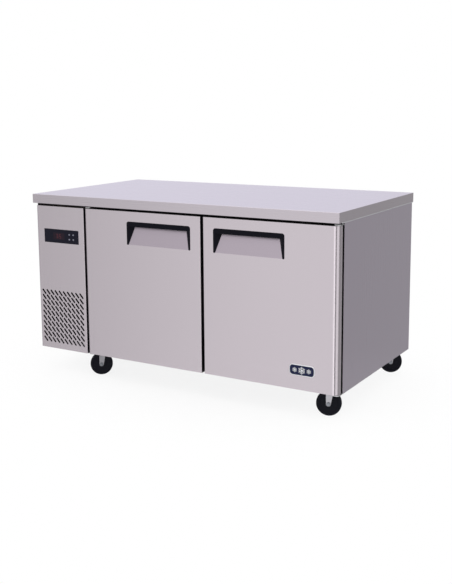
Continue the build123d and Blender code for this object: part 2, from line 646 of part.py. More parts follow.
# ---- casters ------------------------------------------------------------------------------------
FORK_GAP = WHEEL_WIDTH / 2 + 1.2
FORK_SHEET = 3.0
CROWN_Z = (105.0, 121.0)
KINGPIN = 7.0
AXLE_RADIUS = 4.0
PLATE_HALF = 28.0
BOLT_HALF = 20.0


def caster_plate(x, y, _heading):
    """Top plate with its kingpin; the swivel race turns around the pin."""
    plate = block((x - PLATE_HALF, x + PLATE_HALF), (y - PLATE_HALF, y + PLATE_HALF), (124.0, PAN_Z))
    plate = fillet(plate.edges().filter_by(Axis.Z), 6.0)
    for sx in (-1, 1):
        for sy in (-1, 1):
            plate -= disc(x + sx * BOLT_HALF, y + sy * BOLT_HALF, (120.0, PAN_Z + 1), 4.3)
    cup = disc(x, y, (CROWN_Z[1] + 0.6, 124.0), 20.0)
    head = disc(x, y, (CROWN_Z[0] - 3.5, CROWN_Z[0] - 0.4), 11.0)
    return plate + cup + disc(x, y, (CROWN_Z[0] - 3.5, 124.0), KINGPIN) + head


def caster_frame(x, y, heading):
    """Places a shape made with its swivel axis on +Z and its wheel towards -X."""
    return Pos(x, y, 0) * Rot(0, 0, heading)


def caster_fork(x, y, heading):
    """Swivel crown with two legs that narrow down to the axle, and the axle bolt through them."""
    crown = disc(0, 0, CROWN_Z, 25.0)
    crown = fillet(crown.edges().group_by(Axis.Z)[-1], 3.0)
    end = Pos(-CASTER_OFFSET, WHEEL_RADIUS) * Circle(9.5)
    shoulder = make_face(Polyline([(-45.0, 86.0), (-18.0, 92.0), (-18.0, 96.0), (-44.0, 92.0)], close=True))
    neck = make_face(
        Polyline(
            [(-44.0, 91.0), (-20.0, 101.0), (-20.0, 108.0), (16.0, 108.0), (16.0, 104.0), (-18.0, 91.0)],
            close=True,
        )
    )
    leg_outline = make_hull(end.edges() + shoulder.edges()) + neck
    side = Plane(origin=(0, FORK_GAP, 0), x_dir=(1, 0, 0), z_dir=(0, -1, 0))
    leg = extrude(side * leg_outline, amount=-FORK_SHEET)
    fork = crown + leg + mirror(leg, Plane.XZ)
    fork -= disc(0, 0, (90, 130), KINGPIN + RUNNING_FIT)
    reach = FORK_GAP + FORK_SHEET
    hole = rod((-CASTER_OFFSET, -40, WHEEL_RADIUS), (-CASTER_OFFSET, 40, WHEEL_RADIUS), AXLE_RADIUS)
    bolt = rod((-CASTER_OFFSET, -reach, WHEEL_RADIUS), (-CASTER_OFFSET, reach, WHEEL_RADIUS), AXLE_RADIUS)
    for sign in (-1, 1):
        hexagon = Plane(origin=(-CASTER_OFFSET, sign * reach, WHEEL_RADIUS), z_dir=(0, sign, 0))
        bolt += extrude(hexagon * RegularPolygon(7.0, 6), amount=4.0)
    return caster_frame(x, y, heading) * group([fork - hole, bolt])


def caster_wheel(x, y, heading):
    """Moulded wheel with a slightly crowned tread, dished sides and a hub bored for the axle bolt."""
    half = WHEEL_WIDTH / 2
    shoulder = WHEEL_RADIUS - 1.2
    bore = AXLE_RADIUS + RUNNING_FIT
    dish, rim = -half + 3.5, -half + 1.0
    profile = Polyline([(bore, -half), (13.0, -half), (15.0, dish), (36.0, dish), (38.5, rim), (shoulder, rim)])
    tread = ThreePointArc((shoulder, rim), (WHEEL_RADIUS, 0), (shoulder, -rim))
    other = mirror(profile, Plane.XZ)
    bore_line = Line((bore, -half), (bore, half))
    section = make_face(profile.edges() + tread.edges() + other.edges() + bore_line.edges())
    wheel = revolve(section, Axis.Y)
    return caster_frame(x, y, heading) * Pos(-CASTER_OFFSET, 0, WHEEL_RADIUS) * wheel


# ---- doors --------------------------------------------------------------------------------------
# A door is made for the right-hand position, hinged on its right edge; the left one is its mirror image, with a
# tighter hinge corner.
SCOOP_FLARE = 22.5
SCOOP_DEPTH = 21.0
LEG_WIDTH = 9.5
BAR_HEIGHT = 21.5
SCOOP_TOP = HANDLE_TOP - BAR_HEIGHT
HANDLE_BOTTOM = HANDLE_TOP - HANDLE_HEIGHT
SCOOP_BOTTOM = HANDLE_BOTTOM + 2.0
DOOR_X = RIGHT_DOOR_X
PIN_X = DOOR_X[1] - PIN_FROM_EDGE
PIN_Y = FACE_Y + PIN_FROM_FACE
HANDLE_X = (DOOR_X[0] + HANDLE_INSET, DOOR_X[0] + HANDLE_INSET + HANDLE_WIDTH)
INSERT_X = (HANDLE_X[0] + 3.0, HANDLE_X[1] - 3.0)
INSERT_Z = (SCOOP_BOTTOM - 0.5, HANDLE_TOP - 3.0)
INSERT_BACK = FACE_Y + 26.0
POCKET_TOP = HANDLE_TOP - 6.0
BUSH_RADIUS = 8.4
BUSH_HEIGHT = 16.0
CAP = 2.0


def door_profile(inset, corner):
    """Plan of the door, rounded at the hinge corner, moved in by inset all round."""
    x0, x1 = DOOR_X[0] + inset, DOOR_X[1] - inset
    y0, y1 = FACE_Y + inset, DOOR_BACK_Y - inset
    plan = Pos((x0 + x1) / 2, (y0 + y1) / 2) * Rectangle(x1 - x0, y1 - y0)
    front = plan.vertices().group_by(Axis.Y)[0].sort_by(Axis.X)
    plan = fillet(front[-1], corner - inset)
    front = plan.vertices().group_by(Axis.Y)[0].sort_by(Axis.X)
    return fillet(front[0], max(3.0 - inset, 0.8))


def door_prism(inset, z, corner):
    """The door's plan raised between two heights."""
    return extrude(Pos(0, 0, z[0]) * door_profile(inset, corner), amount=z[1] - z[0])


def insert_block():
    """Outside of the handle insert, which sits in a cut-out in the door."""
    return block(INSERT_X, (FACE_Y - 1.0, INSERT_BACK), INSERT_Z)


def hinge_bush_hole(grow):
    """Space for the bushes at the top and bottom of the hinge edge."""
    low = disc(PIN_X, PIN_Y, (DOOR_BOTTOM - 1, DOOR_BOTTOM + BUSH_HEIGHT + grow), BUSH_RADIUS + grow)
    high = disc(PIN_X, PIN_Y, (DOOR_TOP - BUSH_HEIGHT - grow, DOOR_TOP + 1), BUSH_RADIUS + grow)
    return low + high


def door_skin(corner):
    """Stainless skin: front and both sides in one sheet, stepped back along the closing edge."""
    z = (DOOR_BOTTOM, DOOR_TOP)
    skin = door_prism(0, z, corner) - door_prism(SHEET, (z[0] - 1, z[1] + 1), corner)
    inner = (DOOR_X[0] + SHEET, DOOR_X[1] - SHEET)
    skin -= block(inner, (DOOR_BACK_Y - 2 * SHEET, DOOR_BACK_Y + 1), (z[0] - 1, z[1] + 1))
    skin -= block((DOOR_X[0] - 1, DOOR_X[0] + 0.8), (FACE_Y + 5.0, DOOR_BACK_Y + 1), (z[0] - 1, z[1] + 1))
    return skin - insert_block()


def door_core(corner):
    """Foam core, hollowed behind the handle insert and around the hinge bushes."""
    z = (DOOR_BOTTOM + CAP, DOOR_TOP - CAP)
    core = door_prism(SHEET, z, corner)
    core -= block((DOOR_X[0], DOOR_X[1]), (DOOR_BACK_Y - 2.0, DOOR_BACK_Y + 1), (z[0] - 1, z[1] + 1))
    return core - insert_block() - hinge_bush_hole(0)


def door_liner():
    """Inside face of the door: a flat sheet with a shallow pressed panel."""
    x = (DOOR_X[0] + SHEET, DOOR_X[1] - SHEET)
    z = (DOOR_BOTTOM + CAP, DOOR_TOP - CAP)
    liner = block(x, (DOOR_BACK_Y - 2.0, DOOR_BACK_Y), z)
    margin = 46.0
    depth = (DOOR_BACK_Y, DOOR_BACK_Y + 3.0)
    raised = block((x[0] + margin, x[1] - margin), depth, (z[0] + 92.0, z[1] - 52.0))
    raised = fillet(raised.edges().filter_by(Axis.Y), 14.0)
    raised = chamfer(raised.faces().sort_by(Axis.Y)[-1].edges(), 2.0)
    return liner + raised - hinge_bush_hole(0)


def door_gasket():
    """Magnetic gasket, a soft ring with a bellows fold round its outside."""
    x = (DOOR_X[0] + 3.0, DOOR_X[1] - PIN_FROM_EDGE - 0.6)
    z = (DOOR_BOTTOM + 3.5, DOOR_TOP - 3.5)
    width = 14.0
    y = (DOOR_BACK_Y, DOOR_BACK_Y + GASKET_THICKNESS)

    def ring(inset, thickness, y_range):
        outer = block((x[0] + inset, x[1] - inset), y_range, (z[0] + inset, z[1] - inset))
        reach = inset + thickness
        hole = block(
            (x[0] + reach, x[1] - reach), (y_range[0] - 1, y_range[1] + 1), (z[0] + reach, z[1] - reach)
        )
        return outer - hole

    return ring(0, width, y) - ring(-1.0, 4.0, (y[0] + 2.4, y[0] + 5.0))


def scoop_prism(z, back):
    """Plan trapezoid of the finger recess, raised between two heights."""
    x0, x1 = HANDLE_X[0] + LEG_WIDTH, HANDLE_X[1] - LEG_WIDTH
    flare = SCOOP_FLARE * (back - FACE_Y) / SCOOP_DEPTH
    y0 = FACE_Y - 3.0
    forward = -SCOOP_FLARE * 3.0 / SCOOP_DEPTH
    corners = [(x0 + forward, y0), (x1 - forward, y0), (x1 - flare, back), (x0 + flare, back)]
    return extrude(Pos(0, 0, z[0]) * make_face(Polyline(corners, close=True)), amount=z[1] - z[0])


def scoop_wedge(lift):
    """Everything in front of the scoop plate's plane, moved forward by lift."""
    slope = (SCOOP_TOP - SCOOP_BOTTOM) / SCOOP_DEPTH
    back = INSERT_BACK - 1.2
    z_back = SCOOP_BOTTOM + slope * (back - FACE_Y)
    up = lift * math.hypot(1.0, slope)
    outline = [
        (FACE_Y - 4.0, SCOOP_BOTTOM + up - 4.0 * slope),
        (back, z_back + up),
        (back, HANDLE_TOP),
        (FACE_Y - 4.0, HANDLE_TOP),
    ]
    plane = Plane(origin=(HANDLE_X[0] - 20.0, 0, 0), x_dir=(0, 1, 0), z_dir=(1, 0, 0))
    return extrude(plane * make_face(Polyline(outline, close=True)), amount=HANDLE_WIDTH + 40.0)


SCOOP_SHEET = 1.0


def handle_trim():
    """Black moulded handle: a raised frame with a thick bar, two thin legs and a pocket behind the bar."""
    x, top = HANDLE_X, HANDLE_TOP
    face = Plane(origin=(0, FACE_Y, 0), x_dir=(1, 0, 0), z_dir=(0, -1, 0))
    middle = (x[0] + x[1]) / 2
    outline = Pos(middle, (HANDLE_BOTTOM + top) / 2) * Rectangle(HANDLE_WIDTH, HANDLE_HEIGHT)
    outline = fillet(outline.vertices().group_by(Axis.Y)[-1], 11.0)
    window = Pos(middle, (HANDLE_BOTTOM - 20.0 + SCOOP_TOP) / 2) * Rectangle(
        HANDLE_WIDTH - 2 * LEG_WIDTH, SCOOP_TOP - HANDLE_BOTTOM + 20.0
    )
    frame = outline - window
    frame = fillet(frame.vertices().group_by(Axis.Y)[0], LEG_WIDTH / 2 - 0.3)
    trim = extrude(face * frame, amount=1.0)
    trim = fillet(trim.faces().sort_by(Axis.Y)[0].edges(), 0.5)
    insert = block(INSERT_X, (FACE_Y, INSERT_BACK), INSERT_Z)
    hollow = scoop_prism((SCOOP_BOTTOM - 3.0, POCKET_TOP), INSERT_BACK - 1.2) & scoop_wedge(-SCOOP_SHEET)
    bar = block(x, (FACE_Y - 4.0, FACE_Y + 6.0), (SCOOP_TOP, top))
    return trim + (insert - (hollow - bar))


def handle_scoop():
    """Stainless plate that slopes back behind the handle bar."""
    prism = scoop_prism((SCOOP_BOTTOM - 3.0, POCKET_TOP), INSERT_BACK - 1.2)
    in_door = block(INSERT_X, (FACE_Y, INSERT_BACK), INSERT_Z)
    return prism & (scoop_wedge(-SCOOP_SHEET) - scoop_wedge(0)) & in_door


def door_edge_trim(corner):
    """Black end caps, closing-edge strip and hinge bushes."""
    caps = []
    for z in ((DOOR_BOTTOM, DOOR_BOTTOM + CAP), (DOOR_TOP - CAP, DOOR_TOP)):
        caps.append(door_prism(SHEET, z, corner) - hinge_bush_hole(0))
    strip = block((DOOR_X[0], DOOR_X[0] + 0.8), (FACE_Y + 5.0, DOOR_BACK_Y), (DOOR_BOTTOM, DOOR_TOP))
    bushes = []
    for z in ((DOOR_BOTTOM, DOOR_BOTTOM + BUSH_HEIGHT), (DOOR_TOP - BUSH_HEIGHT, DOOR_TOP)):
        bore = disc(PIN_X, PIN_Y, (z[0] - 1, z[1] + 1), PIN_RADIUS + RUNNING_FIT)
        bushes.append(disc(PIN_X, PIN_Y, z, BUSH_RADIUS) - bore)
    return group([*caps, strip, *bushes])


def hinge_plates():
    """One door's two hinge plates, each with its pin riveted in; the low one is clear of the swivelling wheel."""
    x = (PIN_X - 14.0, BODY_RIGHT)
    low_z = (2 * WHEEL_RADIUS + PLATE_CLEARANCE, DOOR_BOTTOM - PLATE_CLEARANCE)
    low = block(x, (FACE_Y + 3.0, FRAME_Y), low_z)
    low = fillet(low.edges().filter_by(Axis.Z).group_by(Axis.Y)[0], 10.0)
    low += block(x, (FRAME_Y - 2.2, FRAME_Y), (low_z[0], low_z[1] + 2.0))
    low += disc(PIN_X, PIN_Y, (low_z[0], DOOR_BOTTOM + BUSH_HEIGHT - 2.0), PIN_RADIUS)
    high_z = DOOR_TOP + 2.5
    high = block(x, (FACE_Y + 5.0, FRAME_Y), (high_z, high_z + HINGE_PLATE))
    high = fillet(high.edges().filter_by(Axis.Z).group_by(Axis.Y)[0], 8.0)
    high += disc(PIN_X, PIN_Y, (DOOR_TOP - BUSH_HEIGHT + 2.0, high_z + HINGE_PLATE), PIN_RADIUS)
    return group([low, high])


BADGE_X = RIGHT - 160.5
BADGE_Z = 186.5
BADGE_SIZE = (112.0, 46.0)


def door_badge():
    """Plain rounded badge with a raised rim and three six-armed frost stars."""
    front = Plane(origin=(BADGE_X, FACE_Y, BADGE_Z), x_dir=(1, 0, 0), z_dir=(0, -1, 0))
    corner, rim = 16.0, 3.6
    badge = extrude(front * RectangleRounded(*BADGE_SIZE, corner), amount=2.4)
    recess = RectangleRounded(BADGE_SIZE[0] - 2 * rim, BADGE_SIZE[1] - 2 * rim, corner - rim)
    badge -= extrude(front.offset(2.4) * recess, amount=-0.8)
    stars = Sketch()
    for middle, length in ((-31.0, 21.0), (0.0, 32.0), (31.0, 21.0)):
        arm = Rectangle(length, 2.4)
        for side in (-1, 1):
            for tilt in (-50, 50):
                arm += Pos(side * length * 0.34, 0) * Rot(0, 0, tilt) * Rectangle(length * 0.28, 1.8)
        stars += [Pos(middle, 0) * Rot(0, 0, 90 + 60 * turn) * arm for turn in range(3)]
    return badge + extrude(front.offset(1.6) * stars, amount=0.6)


# ---- fasteners ----------------------------------------------------------------------------------
def hex_bolt(x, y, z):
    """Hexagon head under the caster plate, with its shank up into the pan."""
    thickness = 2.3
    head = Pos(x, y, z - thickness) * extrude(RegularPolygon(6.0, 6), amount=thickness)
    return head + disc(x, y, (z, PAN_Z), 4.0)


def pan_screw(x, z, y, outward):
    """Low round-headed screw on a back or front face."""
    head = Plane(origin=(x, y, z), z_dir=(0, outward, 0))
    screw = extrude(head * Circle(5.0), amount=2.2)
    screw = fillet(screw.faces().sort_by(Axis.Y)[-1 if outward > 0 else 0].edges(), 1.2)
    cross = Rectangle(5.0, 1.1) + Rectangle(1.1, 5.0)
    return screw - extrude(head.offset(2.2) * cross, amount=-0.9)


def fasteners():
    """Caster bolts, and the screws of the rear grille and the back panel."""
    parts = []
    for x, y, _heading in CASTERS.values():
        for sx in (-1, 1):
            for sy in (-1, 1):
                parts.append(hex_bolt(x + sx * BOLT_HALF, y + sy * BOLT_HALF, 124.0))
    grille_y = BODY_BACK + 1.5
    for x in (GRILLE_X[0] - 5.0, GRILLE_X[1] + 5.0):
        for z in (GRILLE_Z[0] - 3.0, (GRILLE_Z[0] + GRILLE_Z[1]) / 2, GRILLE_Z[1] + 3.0):
            parts.append(pan_screw(x, z, grille_y, 1))
    for x in (MACHINE_RIGHT + 60.0, 0.0, 400.0, BODY_RIGHT - 60.0):
        for z in (BODY_BOTTOM + 20.0, BODY_TOP - 20.0):
            parts.append(pan_screw(x, z, BODY_BACK, 1))
    return group(parts)


# ---- write every sub-part -----------------------------------------------------------------------
SINGLE_PARTS = {
    "worktop": worktop,
    "worktop_core": worktop_core,
    "back_panel": back_panel,
    "rear_grille": rear_grille,
    "cable_gland": cable_gland,
    "base_frame": base_frame,
    "front_frame": front_frame,
    "insulation": insulation,
    "inner_liner": inner_liner,
    "shelf_supports": shelf_supports,
    "evaporator_cover": evaporator_cover,
    "evaporator_coil": evaporator_coil,
    "evaporator_fan": evaporator_rotor,
    "evaporator_fan_motor": evaporator_motor,
    "condenser_coil": condenser_coil,
    "condenser_shroud": condenser_shroud,
    "condenser_fan": condenser_rotor,
    "condenser_fan_motor": condenser_motor,
    "compressor": compressor,
    "refrigerant_lines": refrigerant_lines,
    "electrical_box": electrical_box,
    "drip_tray": drip_tray,
    "slotted_panel": slotted_panel,
    "panel_edge_strip": panel_edge_strip,
    "controller_bezel": controller_bezel,
    "controller_window": controller_window,
    "door_badge": door_badge,
    "fasteners": fasteners,
}
EQUAL_DOOR_PARTS = {
    "liner": door_liner,
    "gasket": door_gasket,
    "handle_trim": handle_trim,
    "handle_scoop": handle_scoop,
}
CORNERED_DOOR_PARTS = {"skin": door_skin, "core": door_core, "edge_trim": door_edge_trim}

for node, make in SINGLE_PARTS.items():
    save(node, make())

save("left_side_panel", side_panel(BODY_LEFT, 1, FACE_Y + PANEL_LIP + 0.3))
save("right_side_panel", side_panel(BODY_RIGHT, -1, FRAME_Y + SIDE_SETBACK))
save("left_shelf", wire_shelf((LINER_LEFT + SHEET + 8.0, (MULLION_X[0] + MULLION_X[1]) / 2 - 4.0)))
save("right_shelf", wire_shelf(((MULLION_X[0] + MULLION_X[1]) / 2 + 4.0, LINER_RIGHT - SHEET - 8.0)))

for node, (key_x, key_z) in KEYS.items():
    save(node, controller_key(key_x, key_z))

for piece, make in EQUAL_DOOR_PARTS.items():
    shape = make()
    save(f"right_door_{piece}", shape)
    save(f"left_door_{piece}", mirror_x(shape, DOORS_MIDDLE))
for piece, make in CORNERED_DOOR_PARTS.items():
    save(f"right_door_{piece}", make(RIGHT_CORNER))
    save(f"left_door_{piece}", mirror_x(make(LEFT_CORNER), DOORS_MIDDLE))

right_plates = hinge_plates()
left_plates = mirror_x(right_plates, DOORS_MIDDLE)
save("hinge_plates", group([right_plates, left_plates]))

save("caster_plates", group([caster_plate(*place) for place in CASTERS.values()]))
for corner, place in CASTERS.items():
    save(f"{corner}_fork", caster_fork(*place))
    save(f"{corner}_wheel", caster_wheel(*place))
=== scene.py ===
"""Looks of the two-door undercounter refrigerator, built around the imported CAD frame. Metres, +Z up."""

import json
import math

import bmesh
import bpy
from mathutils import Matrix, Vector


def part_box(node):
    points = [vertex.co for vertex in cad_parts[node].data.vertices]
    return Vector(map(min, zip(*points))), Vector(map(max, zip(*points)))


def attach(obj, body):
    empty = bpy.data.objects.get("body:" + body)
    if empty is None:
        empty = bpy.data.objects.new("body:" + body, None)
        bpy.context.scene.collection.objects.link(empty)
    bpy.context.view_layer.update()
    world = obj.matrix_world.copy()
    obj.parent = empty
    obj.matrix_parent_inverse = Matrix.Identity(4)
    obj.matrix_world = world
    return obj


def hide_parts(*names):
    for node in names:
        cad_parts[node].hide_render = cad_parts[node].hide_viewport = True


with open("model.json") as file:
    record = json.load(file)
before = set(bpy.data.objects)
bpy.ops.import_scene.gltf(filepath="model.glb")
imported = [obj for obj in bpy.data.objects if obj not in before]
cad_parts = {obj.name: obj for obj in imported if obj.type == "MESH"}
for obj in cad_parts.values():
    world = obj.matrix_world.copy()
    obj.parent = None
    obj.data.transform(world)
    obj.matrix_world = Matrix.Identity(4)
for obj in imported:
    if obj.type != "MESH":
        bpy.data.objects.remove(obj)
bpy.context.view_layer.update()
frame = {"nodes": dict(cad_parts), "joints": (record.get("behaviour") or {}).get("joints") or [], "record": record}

MM = 0.001

# ---- camera: the photograph's angle ------------------------------------------------------------
CAMERA_PLACE = Vector((2.1520, -3.5715, 1.2634))
CAMERA_AZIMUTH = math.radians(31.368)
CAMERA_ELEVATION = math.radians(9.020)
CAMERA_ROLL = math.radians(-0.518)
CAMERA_LENS = 56.95  # mm, on a 36 mm sensor
CAMERA_SHIFT = (0.0163, -0.0857)


def add_camera():
    """Camera at the photograph's place and angle, with a small shift for its framing."""
    a, e, r = CAMERA_AZIMUTH, CAMERA_ELEVATION, CAMERA_ROLL
    back = Vector((math.sin(a) * math.cos(e), -math.cos(a) * math.cos(e), math.sin(e)))
    right = Vector((math.cos(a), math.sin(a), 0.0))
    up = back.cross(right)
    rolled_right = right * math.cos(r) + up * math.sin(r)
    rolled_up = -right * math.sin(r) + up * math.cos(r)
    data = bpy.data.cameras.new("camera")
    data.sensor_width = 36.0
    data.lens = CAMERA_LENS
    data.shift_x, data.shift_y = CAMERA_SHIFT
    camera = bpy.data.objects.new("camera", data)
    bpy.context.scene.collection.objects.link(camera)
    turn = Matrix((rolled_right, rolled_up, back)).transposed().to_4x4()
    camera.matrix_world = Matrix.Translation(CAMERA_PLACE) @ turn
    bpy.context.scene.camera = camera


# ---- node helpers -------------------------------------------------------------------------------
class Graph:
    """A node tree, with short calls that add nodes to it."""

    def __init__(self, tree):
        self.tree = tree

    def feed(self, socket, value):
        """Links an output socket to an input, or sets the input's value."""
        if isinstance(value, bpy.types.NodeSocket):
            self.tree.links.new(value, socket)
        else:
            socket.default_value = value

    def node(self, kind, **inputs):
        made = self.tree.nodes.new(kind)
        for name, value in inputs.items():
            self.feed(made.inputs[name.replace("_", " ")], value)
        return made

    def math(self, operation, a, b=0.0):
        made = self.node("ShaderNodeMath")
        made.operation = operation
        self.feed(made.inputs[0], a)
        self.feed(made.inputs[1], b)
        return made.outputs[0]

    def remap(self, value, low, high, out_low, out_high, interpolation="LINEAR"):
        """Value carried from one range to another."""
        span = {"From_Min": low, "From_Max": high, "To_Min": out_low, "To_Max": out_high}
        made = self.node("ShaderNodeMapRange", Value=value, **span)
        made.interpolation_type = interpolation
        return made.outputs["Result"]

    def mix(self, factor, a, b):
        """Colour between a and b."""
        made = self.node("ShaderNodeMix")
        made.data_type = "RGBA"
        self.feed(made.inputs["Factor"], factor)
        self.feed(made.inputs["A"], (*a, 1.0) if isinstance(a, tuple) else a)
        self.feed(made.inputs["B"], (*b, 1.0) if isinstance(b, tuple) else b)
        return made.outputs["Result"]


class Shader(Graph):
    """One node material: a Principled shader and the nodes in front of it."""

    def __init__(self, name, color, roughness, metallic=0.0, **values):
        self.material = bpy.data.materials.new(name)
        self.material.use_nodes = True
        super().__init__(self.material.node_tree)
        self.principled = self.tree.nodes["Principled BSDF"]
        self.color = color
        self.relief = None
        self.set("Base Color", (*color, 1.0))
        self.set("Roughness", roughness)
        self.set("Metallic", metallic)
        for socket, value in values.items():
            self.set(socket.replace("_", " "), value)

    def set(self, socket, value):
        """Feeds a socket of the Principled shader."""
        self.feed(self.principled.inputs[socket], value)

    def place(self, scale=(1, 1, 1)):
        """Coordinates fixed to the piece, in metres times scale."""
        coordinates = self.node("ShaderNodeTexCoord").outputs["Object"]
        return self.node("ShaderNodeMapping", Vector=coordinates, Scale=scale).outputs["Vector"]

    def noise(self, scale=1.0, detail=3.0, roughness=0.55, stretch=(1, 1, 1)):
        """Cloudy noise, of so many waves per metre, stretched along the axes."""
        place = self.place(stretch)
        made = self.node("ShaderNodeTexNoise", Vector=place, Scale=scale, Detail=detail, Roughness=roughness)
        return made.outputs["Fac"]

    def cells(self, scale):
        return self.node("ShaderNodeTexVoronoi", Vector=self.place(), Scale=scale)

    def vary_color(self, factor, low, high):
        """Multiplies the base colour between low and high."""
        dark = tuple(c * low for c in self.color)
        light = tuple(min(1.0, c * high) for c in self.color)
        self.set("Base Color", self.mix(factor, dark, light))

    def vary_roughness(self, factor, low, high):
        self.set("Roughness", self.remap(factor, 0.0, 1.0, low, high))

    def bump(self, height, distance, strength=1.0):
        """Adds relief; several calls stack."""
        made = self.node("ShaderNodeBump", Height=height, Distance=distance, Strength=strength)
        if self.relief:
            self.feed(made.inputs["Normal"], self.relief)
        self.relief = made.outputs["Normal"]
        self.set("Normal", self.relief)


# ---- materials ----------------------------------------------------------------------------------
def brushed_steel(name, color, roughness, grain, contrast=0.007):
    """Brushed sheet: fine streaks along the grain axis, a slight sheet warp and faint handling marks."""
    shader = Shader(name, color, roughness, metallic=1.0, Anisotropic=0.2)

    def along_grain(along, across):
        return tuple(along if axis == grain else across for axis in "xyz")

    def spread(value):
        """The middle of a noise, stretched to 0..1."""
        return shader.remap(value, 0.3, 0.7, 0.0, 1.0)

    def blend(a, share_a, b, share_b):
        return shader.math("ADD", shader.math("MULTIPLY", a, share_a), shader.math("MULTIPLY", b, share_b))

    streaks = shader.noise(detail=2.0, stretch=along_grain(3.0, 900.0))
    bands = shader.noise(detail=4.0, stretch=along_grain(0.5, 160.0))
    marks = shader.noise(detail=1.0, stretch=(2.5, 2.5, 2.5))
    shader.vary_color(spread(blend(streaks, 0.55, bands, 0.45)), 1.0 - contrast, 1.0 + contrast)
    swing = 2.5 * contrast
    shader.vary_roughness(spread(blend(streaks, 0.7, marks, 0.3)), roughness - swing, roughness + swing)
    shader.bump(streaks, 0.00002, 0.08)
    shader.bump(shader.noise(detail=1.0, stretch=(1.6, 1.6, 1.6)), 0.0001)
    tangent = shader.node("ShaderNodeTangent")
    tangent.direction_type = "RADIAL"
    tangent.axis = "X" if grain == "x" else "Z"
    shader.set("Tangent", tangent.outputs["Tangent"])
    return shader.material


def moulded_plastic(name, color, roughness, specular=0.5):
    """Moulded plastic with a fine spark-eroded grain."""
    shader = Shader(name, color, roughness, Specular_IOR_Level=specular)
    haze = shader.noise(18.0, detail=4.0)
    shader.vary_color(haze, 0.85, 1.2)
    shader.vary_roughness(shader.remap(haze, 0.3, 0.7, 0.0, 1.0), roughness - 0.05, roughness + 0.08)
    shader.bump(shader.noise(1400.0), 0.00003, 0.6)
    return shader.material


def glowing_plastic(name, color, roughness):
    """Faintly lit read-out segments."""
    shader = Shader(name, color, roughness, Emission_Strength=0.03, Emission_Color=(0.9, 0.06, 0.10, 1.0))
    haze = shader.noise(120.0, detail=2.0)
    shader.vary_color(haze, 0.8, 1.15)
    shader.bump(haze, 0.00002, 0.3)
    return shader.material


def rubber(name, color, roughness, specular=0.3):
    """Soft rubber with a dusty bloom."""
    shader = Shader(name, color, roughness, Specular_IOR_Level=specular)
    bloom = shader.noise(30.0, detail=6.0, roughness=0.7)
    shader.vary_color(bloom, 0.75, 1.6)
    shader.vary_roughness(bloom, roughness - 0.06, roughness + 0.08)
    shader.bump(shader.noise(900.0, detail=2.0), 0.00004, 0.7)
    return shader.material


def plated_steel(name, color, roughness):
    """Plated or bare metal with a faint cloudy variation."""
    shader = Shader(name, color, roughness, metallic=1.0)
    clouds = shader.noise(60.0, detail=5.0, roughness=0.65)
    shader.vary_color(clouds, 0.85, 1.12)
    shader.vary_roughness(clouds, roughness - 0.08, roughness + 0.12)
    shader.bump(shader.noise(1500.0, detail=2.0), 0.00002, 0.5)
    return shader.material


def galvanised(name, color, roughness):
    """Galvanised sheet with its crystal spangle."""
    shader = Shader(name, color, roughness, metallic=1.0)
    spangle = shader.cells(120.0).outputs["Color"]
    crystal = shader.node("ShaderNodeSeparateColor", Color=spangle).outputs["Red"]
    shader.vary_color(crystal, 0.92, 1.05)
    shader.vary_roughness(crystal, roughness - 0.05, roughness + 0.06)
    shader.bump(shader.noise(500.0), 0.00003, 0.5)
    return shader.material


def painted(name, color, roughness, coat=0.3, specular=0.5):
    """Enamel with light orange peel."""
    shader = Shader(name, color, roughness, Coat_Weight=coat, Specular_IOR_Level=specular)
    dust = shader.noise(14.0, detail=6.0)
    shader.vary_color(dust, 0.85, 1.4)
    shader.vary_roughness(dust, roughness - 0.05, roughness + 0.15)
    shader.bump(shader.noise(350.0, detail=1.0), 0.00006, 0.6)
    return shader.material


def foam(name, color):
    """Cut rigid foam or board."""
    shader = Shader(name, color, 0.9)
    shader.vary_color(shader.noise(12.0, detail=4.0), 0.85, 1.05)
    shader.bump(shader.cells(700.0).outputs["Distance"], 0.0003, 0.8)
    return shader.material


